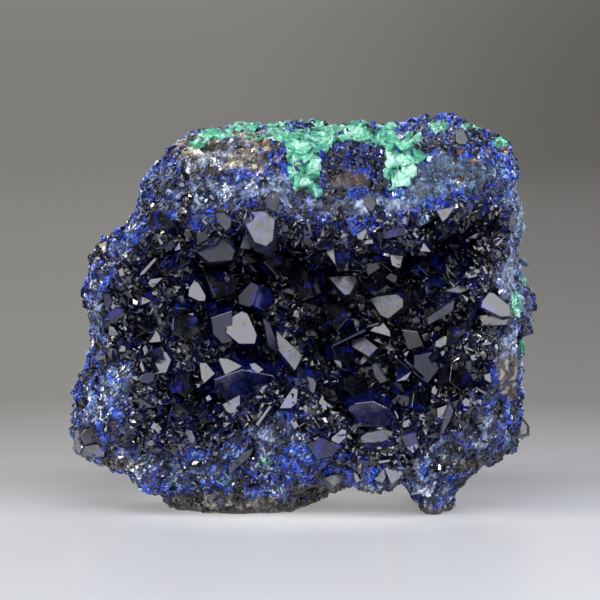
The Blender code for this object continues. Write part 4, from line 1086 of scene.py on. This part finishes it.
def fibrous_malachite():
    """Malachite crust: felted fibres, matt and pale green where they are combed up, and deep green in the
    pits, a painted shade.

    A real fibre is too fine to show, so the felt is drawn as tufts 0.8 mm wide.
    """
    material, tree, shader, place = blank("fibrous_malachite")
    body = add(tree, "Attribute", attribute_name=BODY_COLOUR)
    fibres = add(tree, "Mapping", {"Vector": place, "Scale": (1.0, 1.0, 0.6)}, vector_type="POINT")
    fine = add(tree, "TexNoise", {"Vector": fibres, "Scale": per_mm(0.8), "Detail": 6.0, "Roughness": 0.75})
    shade = add(tree, "MapRange", (fine, 0.32, 0.68, 0.3, 1.5))
    colour = add(tree, "VectorMath", {0: body, "Scale": shade}, operation="SCALE")
    bump = add(tree, "Bump", {"Height": fine, "Strength": 1.0, "Distance": 0.5 * MM})
    plug(shader, {"Base Color": colour, "Roughness": 0.6, "IOR": 1.55, "Normal": bump})
    return material


def board_with_painted_light(colours):
    """Laminated board with a soft sheen, and painted light: a painted pool of light, pale under the specimen
    and grey further off, and emitted light that grows with distance, is stronger to the left than the right,
    and pools right under the specimen.
    """
    material, tree, shader, place = blank("board_with_painted_light")
    ahead = add(tree, "VectorMath", (place, (0.0, 0.1, 0.0)), operation="ADD")
    away = add(tree, "VectorMath", {0: ahead}, operation="LENGTH").outputs["Value"]
    more = add(tree, "Math", (away, 0.35), operation="ADD")
    far = add(tree, "Math", (away, more), operation="DIVIDE")
    near, painted_far_shade = colours.board_near_painted_light, colours.board_far_painted_shade
    # Painted pool of light: the board's colour is pale near the specimen and grey further off.
    ramp = add(tree, "ValToRGB", {"Fac": far}, ((0.0, near), (0.25, near), (0.46, painted_far_shade), (1.0, painted_far_shade)))
    # Painted light: the board emits light that grows with distance from the specimen.
    painted_glow_amount = add(tree, "MapRange", (far, 0.3, 1.0, 0.045, 0.14))
    across = add(tree, "SeparateXYZ", {"Vector": place})
    turned = add(tree, "Math", (across, away), operation="DIVIDE")
    # Painted light from the left: far off, the board emits more light to the left than to the right.
    painted_side_falloff = add(tree, "MapRange", (turned, -0.03, 0.1, 1.05, 0.5), interpolation_type="SMOOTHSTEP")
    painted_side_reach = add(tree, "MapRange", (far, 0.2, 0.45, 0.0, 1.0))
    side = add(tree, "Mix", {"Factor": painted_side_reach, "A": 1.0, "B": painted_side_falloff}, data_type="FLOAT")
    middle = add(tree, "VectorMath", {0: place}, operation="LENGTH").outputs["Value"]
    # Painted pool of light right under the specimen: the board emits more light within about 50 mm of its
    # middle.
    under = add(tree, "MapRange", (middle, 0.015, 0.052, 0.22, 0.0), interpolation_type="SMOOTHSTEP")
    strength = add(tree, "Math", (painted_glow_amount, side, under), operation="MULTIPLY_ADD")
    painted_glow = {"Emission Color": (*from_hex("#fffdf8"), 1.0), "Emission Strength": strength}
    plug(shader, {"Base Color": ramp, "Roughness": 0.3, "IOR": 1.45, **painted_glow})
    return material


# ------------------------------------------------------------------ pieces


def settings():
    return bpy.context.scene.specimen_sizes, bpy.context.scene.specimen_colours


def build_rock():
    """The rock's own surface: lumps, broken facets and pits, stained by what it is made of, and darkened in
    its pits by a painted shade.
    """
    sizes, _ = settings()
    rock = on_grid("azurite_rock_surface", "azurite_rock", sizes.rock_grid, 3)
    mesh = rock.data
    points = points_of(mesh)
    normals = read(mesh.vertices, "normal", 3)
    hidden = in_hollow(points)
    smooth = kind_weights(points)[:, list(KINDS).index("slate")]
    broken = 0.55 * facets(points, 2.6, 3) + 0.42 * facets(points, 1.5, 23)
    relief = broken + 0.3 * layered(points, 2.4, 13) + 0.38 * ridged(points * UPRIGHT, 2.6, 113)
    relief *= 1.0 - 0.5 * smooth
    standing = ease(0.2, 2.5, points[:, 2])
    moved = (relief * (0.35 + 0.65 * standing) - GRAIN_ROOM * standing) * (1.0 - hidden)
    move_points(mesh, points + normals * moved[:, None])
    # Colour follows the relief: the lower a point, the darker its colour for the most part, a painted shade
    # in the pits.
    paint(mesh, ground_colours(points_of(mesh), 0.5 + 0.45 * relief))
    mesh.shade_flat()
    dressed(rock, azurite_in_matrix(), "azurite_rock", "azurite_rock")


def build_rim_druse():
    """The fine druse of the rim, and the coarser grains of the sides and back."""
    sizes, _ = settings()
    rock = rock_surface()
    druse = drusy_azurite()
    draw = np.random.default_rng(DRUSE_SEED)
    shares = np.array([KINDS[kind][3] for kind in KINDS])

    def on_front(centres):
        front = (1.0 - ease(-2.0, 8.0, centres[:, 1])) * (1.0 - in_hollow(centres))
        return front * (centres[:, 2] > 0.8) * (kind_weights(centres) @ shares)

    def on_back(centres):
        return ease(-6.0, 4.0, centres[:, 1]) * (centres[:, 2] > 1.0) * (kind_weights(centres) @ shares)

    for name, chance, wanted, length in (
        ("rim_fine_druse", on_front, sizes.fine_grains, sizes.fine_grain / MM),
        ("rim_druse", on_front, sizes.grains, sizes.grain / MM),
        ("side_druse", on_back, sizes.side_grains, sizes.side_grain / MM),
    ):
        places, facing = places_on(rock, wanted, chance, draw)
        axes = tilted(facing, 0.45, draw)
        turn = 1.6 * wander(places, 9.0, 111) + 0.3
        flow = np.stack([np.sin(turn), np.zeros(wanted), np.cos(turn)], axis=1)
        long = length * draw.uniform(0.7, 2.0, wanted)
        broad = length * draw.uniform(0.35, 0.9, wanted)
        high = length * draw.uniform(0.5, 1.1, wanted)
        sunk = places - facing * (high * draw.uniform(0.0, 0.3, wanted))[:, None]
        grains = strewn(
            name, GRAIN_POINTS, GRAIN_FACES, sunk, (*frames_for(axes, draw, flow, 0.5), axes),
            np.stack([long, broad, high], axis=1), grain_colours(places, draw), draw,
        )
        dressed(grains, druse, "azurite_rock", "azurite_rock")


def build_rim_crystals():
    """The larger crystals that stand on the rim."""
    sizes, _ = settings()
    tree = rock_tree()
    draw = np.random.default_rng(RIM_SEED)
    heap = Heap()
    for lean, tone, y, corners in RIM_CRYSTALS:
        add_crystal(heap, lean, tone, y, corners, tree, RIM_STANDING, draw)
    for middle_x, middle_y, half_x, half_y, count in GLINTS:
        for _ in range(count):
            across = middle_x + half_x * draw.normal(0.0, 0.6)
            drawn = on_sheet(across, middle_y + half_y * draw.normal(0.0, 0.6))
            wall = wall_behind(tree, at_depth(drawn, RIM_FRONT))
            normal = (Vector(LEANS["lamp"]) + Vector(draw.normal(0.0, 0.13, 3))).normalized()
            width = draw.uniform(0.35, 1.0)
            length = width * draw.uniform(1.0, 2.6)
            add_tablet(heap, at_depth(drawn, wall - 0.9), normal, width, length, 1.2, "clear", draw)

    def lower_rim(centres):
        front = (1.0 - ease(-10.0, 0.0, centres[:, 1])) * (1.0 - in_hollow(centres))
        return front * (centres[:, 2] > 3.0) * (0.25 + (1.0 - ease(45.0, 60.0, centres[:, 2])))

    places, facing = places_on(rock_surface(), sizes.rim_blades, lower_rim, draw)
    axes = tilted(facing, 0.3, draw)
    for place, axis in zip(places, axes):
        width = draw.uniform(0.35, 0.95)
        tone = ("clear", "blue", "blue", "frost")[draw.integers(0, 4)]
        add_blade(heap, Vector(place), Vector(axis), width, width * draw.uniform(0.9, 1.5), tone, draw)
    glassy = vitreous_azurite("vitreous_azurite", 0.28)
    dressed(heap.made("rim_crystals"), glassy, "azurite_rock", "azurite_rock")


def build_lining():
    """The crust that the hollow's crystals stand on."""
    _, colours = settings()
    rock = rock_surface()
    points = points_of(rock)
    share = hollow_share(*to_sheet(points))
    inside = (points[:, 1] < DEEPEST_WALL_Y) & (share < LINING_EDGE)
    rise = LINING_RISE * (1.0 - ease(0.955, HOLLOW_BRINK, share)) - 0.3
    relief = rise + 0.5 * facets(points, 3.0, 71) + 0.4 * layered(points, 2.0, 73)
    relief *= 1.0 - ease(0.99, LINING_EDGE, share)
    raised = (points + read(rock.vertices, "normal", 3) * relief[:, None])[inside]
    number = np.cumsum(inside) - 1
    faces = [
        [int(number[corner]) for corner in face.vertices]
        for face in rock.polygons
        if all(inside[corner] for corner in face.vertices)
    ]
    mesh = mesh_from("hollow_lining", raised, faces)
    paint(mesh, np.outer(0.5 + 0.5 * layered(raised, 5.0, 81), np.array(colours.lining)))
    frosted(mesh, np.full(len(raised), LINING_FROST))
    mesh.shade_flat()
    glassy = bpy.data.materials["vitreous_azurite"]
    dressed(linked("hollow_lining", mesh), glassy, "vug_crystals", "vug_crystals")


def build_vug_crystals():
    """The large crystals of the hollow, and the middling blades and tablets between them."""
    sizes, _ = settings()
    tree = rock_tree()
    draw = np.random.default_rng(VUG_SEED)
    heap = Heap()
    middles = []
    for lean, tone, y, corners in VUG_CRYSTALS:
        middle = sum((on_sheet(*corner) for corner in corners), Vector()) / len(corners)
        middle = at_depth(middle, y)
        middles.append((middle.x, middle.z))
        add_crystal(heap, lean, tone, y, corners, tree, HOLLOW_STANDING, draw)
    middles = np.array(middles)
    lining = bpy.data.objects["hollow_lining"].data

    def between(centres):
        gaps = centres[:, None, ::2] - middles[None, :, :]
        away = np.min(np.hypot(gaps[:, :, 0], gaps[:, :, 1]), axis=1)
        inside = hollow_share(*to_sheet(centres)) < TABLET_EDGE
        return ease(0.5, 1.6, away) * ~under_crystals(centres) * inside

    places, facing = places_on(lining, sizes.blades, between, draw)
    axes = tilted(facing * 0.7 + np.array([0.0, -0.5, 0.1]), 0.4, draw)
    looks = tilted(np.tile(UP + np.array([0.0, 0.0, -0.12]), (sizes.blades, 1)), 0.45, draw)
    for number, (place, axis) in enumerate(zip(places, axes)):
        tone = ("clear", "dark", "dark", "clear", "blue")[draw.integers(0, 5)]
        width = 0.7 + 1.9 * draw.random() ** 2
        if number % 4:
            centre = Vector(place) + Vector(axis) * draw.uniform(0.6, 1.6)
            length = width * draw.uniform(1.1, 2.2)
            add_tablet(heap, centre, Vector(looks[number]), width, length, 3.0, tone, draw)
        else:
            add_blade(heap, Vector(place), Vector(axis), width, width * draw.uniform(1.6, 3.0), tone, draw)
    glassy = bpy.data.materials["vitreous_azurite"]
    dressed(heap.made("hollow_crystals"), glassy, "vug_crystals", "vug_crystals")


def combed_share(across, down):
    """How far the laths all lean one way."""
    return 1.0 - ease(0.8, 1.25, away_from(COMBED_ZONE, across, down))


def build_laths():
    """The druse of small laths that covers the hollow between its larger crystals."""
    sizes, _ = settings()
    lining = bpy.data.objects["hollow_lining"].data
    draw = np.random.default_rng(LATH_SEED)
    wanted = sizes.laths

    def inside(centres):
        across, down = to_sheet(centres)
        open_wall = 1.0 - 0.9 * ease(0.97, 1.0, hollow_share(across, down))
        gaps = 0.25 + 0.75 * ease(-0.25, 0.2, wander(centres, 2.2, 121))
        return open_wall * gaps * (1.0 + 0.3 * combed_share(across, down)) * ~under_crystals(centres)

    places, facing = places_on(lining, wanted, inside, draw)
    combed = combed_share(*to_sheet(places))
    looks = tilted(unit(UP + 0.3 * facing), 0.85 - 0.55 * combed, draw)
    leaning = np.tile([0.5, 0.0, -0.87], (wanted, 1))
    side, other = frames_for(looks, draw, leaning, math.pi * (1.0 - 0.9 * combed))
    long = sizes.lath / MM * draw.uniform(0.45, 1.45, wanted)
    broad = long * draw.uniform(0.2, 0.5, wanted)
    thick = draw.uniform(0.45, 1.0, wanted)
    palette = np.array([from_hex(text) for text in LATH_COLOURS])
    laths = strewn(
        "hollow_druse", LATH_POINTS, LATH_FACES, places + facing * 0.25, (-other, side, looks),
        np.stack([broad, long, thick], axis=1), palette[draw.integers(0, len(palette), wanted)], draw,
    )
    dressed(laths, vitreous_azurite("vitreous_azurite_druse", 0.05), "vug_crystals", "vug_crystals")


def build_malachite():
    """The malachite crusts: felted, thin and ragged, following every dip of the rock that they grew on."""
    sizes, colours = settings()
    felt = fibrous_malachite()
    solid = rock_tree()
    rough = tree_of(rock_surface())
    greens = np.array([colours.green_deep_painted_shade, colours.green_mid, colours.green_pale])
    for node in ("malachite_top", "malachite_upper_side", "malachite_lower_side"):
        crust = on_grid(node + "_crust", node, MALACHITE_GRID * MM, 2)
        mesh = crust.data
        points = points_of(mesh)
        above = np.empty(len(points))
        feet = np.empty_like(points)
        facing = np.empty_like(points)
        for number, point in enumerate(points):
            place = Vector(point) * MM
            found, outward, _, _ = solid.find_nearest(place)
            above[number] = (place - found).dot(outward) / MM
            found, outward, _, _ = rough.find_nearest(place)
            feet[number] = found / MM
            facing[number] = outward
        across, down = to_sheet(points)
        bare = np.zeros(len(points))
        for spot in BARE_SPOTS:
            away = away_from(spot, across, down) + 0.5 * wander(points, 1.5, 95)
            bare = np.maximum(bare, 1.0 - ease(0.6, 1.3, away))
        combed = points * COMBED
        felted = 0.26 * ridged(combed, 1.3, 91) + 0.14 * ridged(combed, 0.65, 93)
        patchy = layered(points, 2.4, 97)
        ragged = above + 0.45 * wander(points, 1.1, 87)
        eaten = ease(0.0, 0.3, wander(combed, 1.0, 89)) * (1.0 - ease(0.8, 1.9, above))
        share = ease(0.15, 1.2, ragged) * (1.0 - bare) * (1.0 - eaten)
        rise = share * (sizes.malachite / MM * (0.85 + 0.9 * patchy) + felted) - CRUST_ROOT
        move_points(mesh, feet + facing * rise[:, None])
        # Colour follows the felt: its troughs get the deep green, a painted shade, mixed with greens that
        # vary at random.
        step, part = halves(0.46 + 0.8 * felted + 0.6 * layered(points, 1.6, 99) + 0.25 * patchy)
        paint(mesh, greens[step] * (1.0 - part) + greens[step + 1] * part)
        mesh.shade_smooth()
        dressed(crust, felt, "malachite", node)


# ------------------------------------------------------------------ stage


def area_light(name, place, width, height, radiance, colour):
    """A soft box that faces the specimen. Its power follows from its size and how bright it looks."""
    lamp = bpy.data.lights.new(name, "AREA")
    lamp.shape = "RECTANGLE"
    lamp.size = width
    lamp.size_y = height
    lamp.energy = radiance * 4.0 * width * height
    lamp.color = from_hex(colour)
    made = linked(name, lamp)
    made.location = place
    made.rotation_mode = "QUATERNION"
    made.rotation_quaternion = (AIM - made.location).to_track_quat("-Z", "Y")


def build_stage():
    """The board, the lights and the camera."""
    _, colours = settings()
    around = np.linspace(0.0, 2.0 * math.pi, BOARD_SIDES, endpoint=False)
    points = [(far * math.cos(turn), far * math.sin(turn), up) for far, up in BOARD_RINGS for turn in around]
    faces = [tuple(range(BOARD_SIDES))]
    for start in range(0, len(points) - BOARD_SIDES, BOARD_SIDES):
        for at in range(start, start + BOARD_SIDES):
            after = start + (at + 1 - start) % BOARD_SIDES
            faces.append((at, after, after + BOARD_SIDES, at + BOARD_SIDES))
    mesh = bpy.data.meshes.new("board")
    mesh.from_pydata(points, [], faces)
    board = linked("board", mesh)
    board.data.materials.append(board_with_painted_light(colours))
    for light in LIGHTS:
        area_light(*light)
    world = bpy.data.worlds.new("studio")
    world.use_nodes = True
    colour, strength = STUDIO
    plug(world.node_tree.nodes["Background"], {"Color": (*from_hex(colour), 1.0), "Strength": strength})
    bpy.context.scene.world = world
    bpy.context.scene.view_settings.view_transform = "Standard"
    middle = on_sheet(SHEET_SIZE / 2.0, SHEET_SIZE / 2.0)
    lens = bpy.data.cameras.new("camera")
    lens.clip_end = CLIP_END
    camera = linked("camera", lens)
    camera.location = EYE * MM
    camera.rotation_mode = "QUATERNION"
    camera.rotation_quaternion = (middle - EYE).to_track_quat("-Z", "Y")
    lens.angle = 2.0 * math.atan(SHEET_SIZE * UNIT / 2.0 / (middle - EYE).length)
    bpy.context.scene.camera = camera


# ------------------------------------------------------------------ operators and panel


class SPECIMEN_OT_rock(bpy.types.Operator):
    """Carve the rock's surface"""

    bl_idname = "specimen.rock"
    bl_label = "Rock"

    def execute(self, context):
        build_rock()
        return {"FINISHED"}


class SPECIMEN_OT_rim_druse(bpy.types.Operator):
    """Strew the fine crystals of the rim, the sides and the back"""

    bl_idname = "specimen.rim_druse"
    bl_label = "Rim druse"

    def execute(self, context):
        build_rim_druse()
        return {"FINISHED"}


class SPECIMEN_OT_rim_crystals(bpy.types.Operator):
    """Stand the larger crystals on the rim"""

    bl_idname = "specimen.rim_crystals"
    bl_label = "Rim crystals"

    def execute(self, context):
        build_rim_crystals()
        return {"FINISHED"}


class SPECIMEN_OT_lining(bpy.types.Operator):
    """Line the hollow with its crust"""

    bl_idname = "specimen.lining"
    bl_label = "Lining of the hollow"

    def execute(self, context):
        build_lining()
        return {"FINISHED"}


class SPECIMEN_OT_vug_crystals(bpy.types.Operator):
    """Grow the large crystals of the hollow"""

    bl_idname = "specimen.vug_crystals"
    bl_label = "Crystals of the hollow"

    def execute(self, context):
        build_vug_crystals()
        return {"FINISHED"}


class SPECIMEN_OT_laths(bpy.types.Operator):
    """Grow the small laths of the hollow"""

    bl_idname = "specimen.laths"
    bl_label = "Laths of the hollow"

    def execute(self, context):
        build_laths()
        return {"FINISHED"}


class SPECIMEN_OT_malachite(bpy.types.Operator):
    """Grow the malachite over the top and the right side"""

    bl_idname = "specimen.malachite"
    bl_label = "Malachite"

    def execute(self, context):
        build_malachite()
        return {"FINISHED"}


class SPECIMEN_OT_stage(bpy.types.Operator):
    """Lay the board and place the lights and the camera"""

    bl_idname = "specimen.stage"
    bl_label = "Stage"

    def execute(self, context):
        build_stage()
        return {"FINISHED"}


OPERATORS = (
    SPECIMEN_OT_stage,
    SPECIMEN_OT_rock,
    SPECIMEN_OT_rim_druse,
    SPECIMEN_OT_rim_crystals,
    SPECIMEN_OT_lining,
    SPECIMEN_OT_vug_crystals,
    SPECIMEN_OT_laths,
    SPECIMEN_OT_malachite,
)


class SPECIMEN_PT_panel(bpy.types.Panel):
    """Lists the specimen's sizes, its colours and the steps that build it"""

    bl_idname = "SPECIMEN_PT_panel"
    bl_label = "Azurite specimen"
    bl_space_type = "VIEW_3D"
    bl_region_type = "UI"
    bl_category = "Specimen"

    def draw(self, context):
        for group in (context.scene.specimen_sizes, context.scene.specimen_colours):
            box = self.layout.box()
            for key in group.bl_rna.properties.keys():
                if key not in ("rna_type", "name"):
                    box.prop(group, key)
        for step in OPERATORS:
            self.layout.operator(step.bl_idname)


CLASSES = (SpecimenSizes, SpecimenColours, *OPERATORS, SPECIMEN_PT_panel)


def register():
    for made in CLASSES:
        bpy.utils.register_class(made)
    bpy.types.Scene.specimen_sizes = PointerProperty(type=SpecimenSizes)
    bpy.types.Scene.specimen_colours = PointerProperty(type=SpecimenColours)


def unregister():
    del bpy.types.Scene.specimen_colours
    del bpy.types.Scene.specimen_sizes
    for made in reversed(CLASSES):
        bpy.utils.unregister_class(made)


def main():
    register()
    for step in OPERATORS:
        group, name = step.bl_idname.split(".")
        getattr(getattr(bpy.ops, group), name)()


if __name__ == "__main__":
    main()
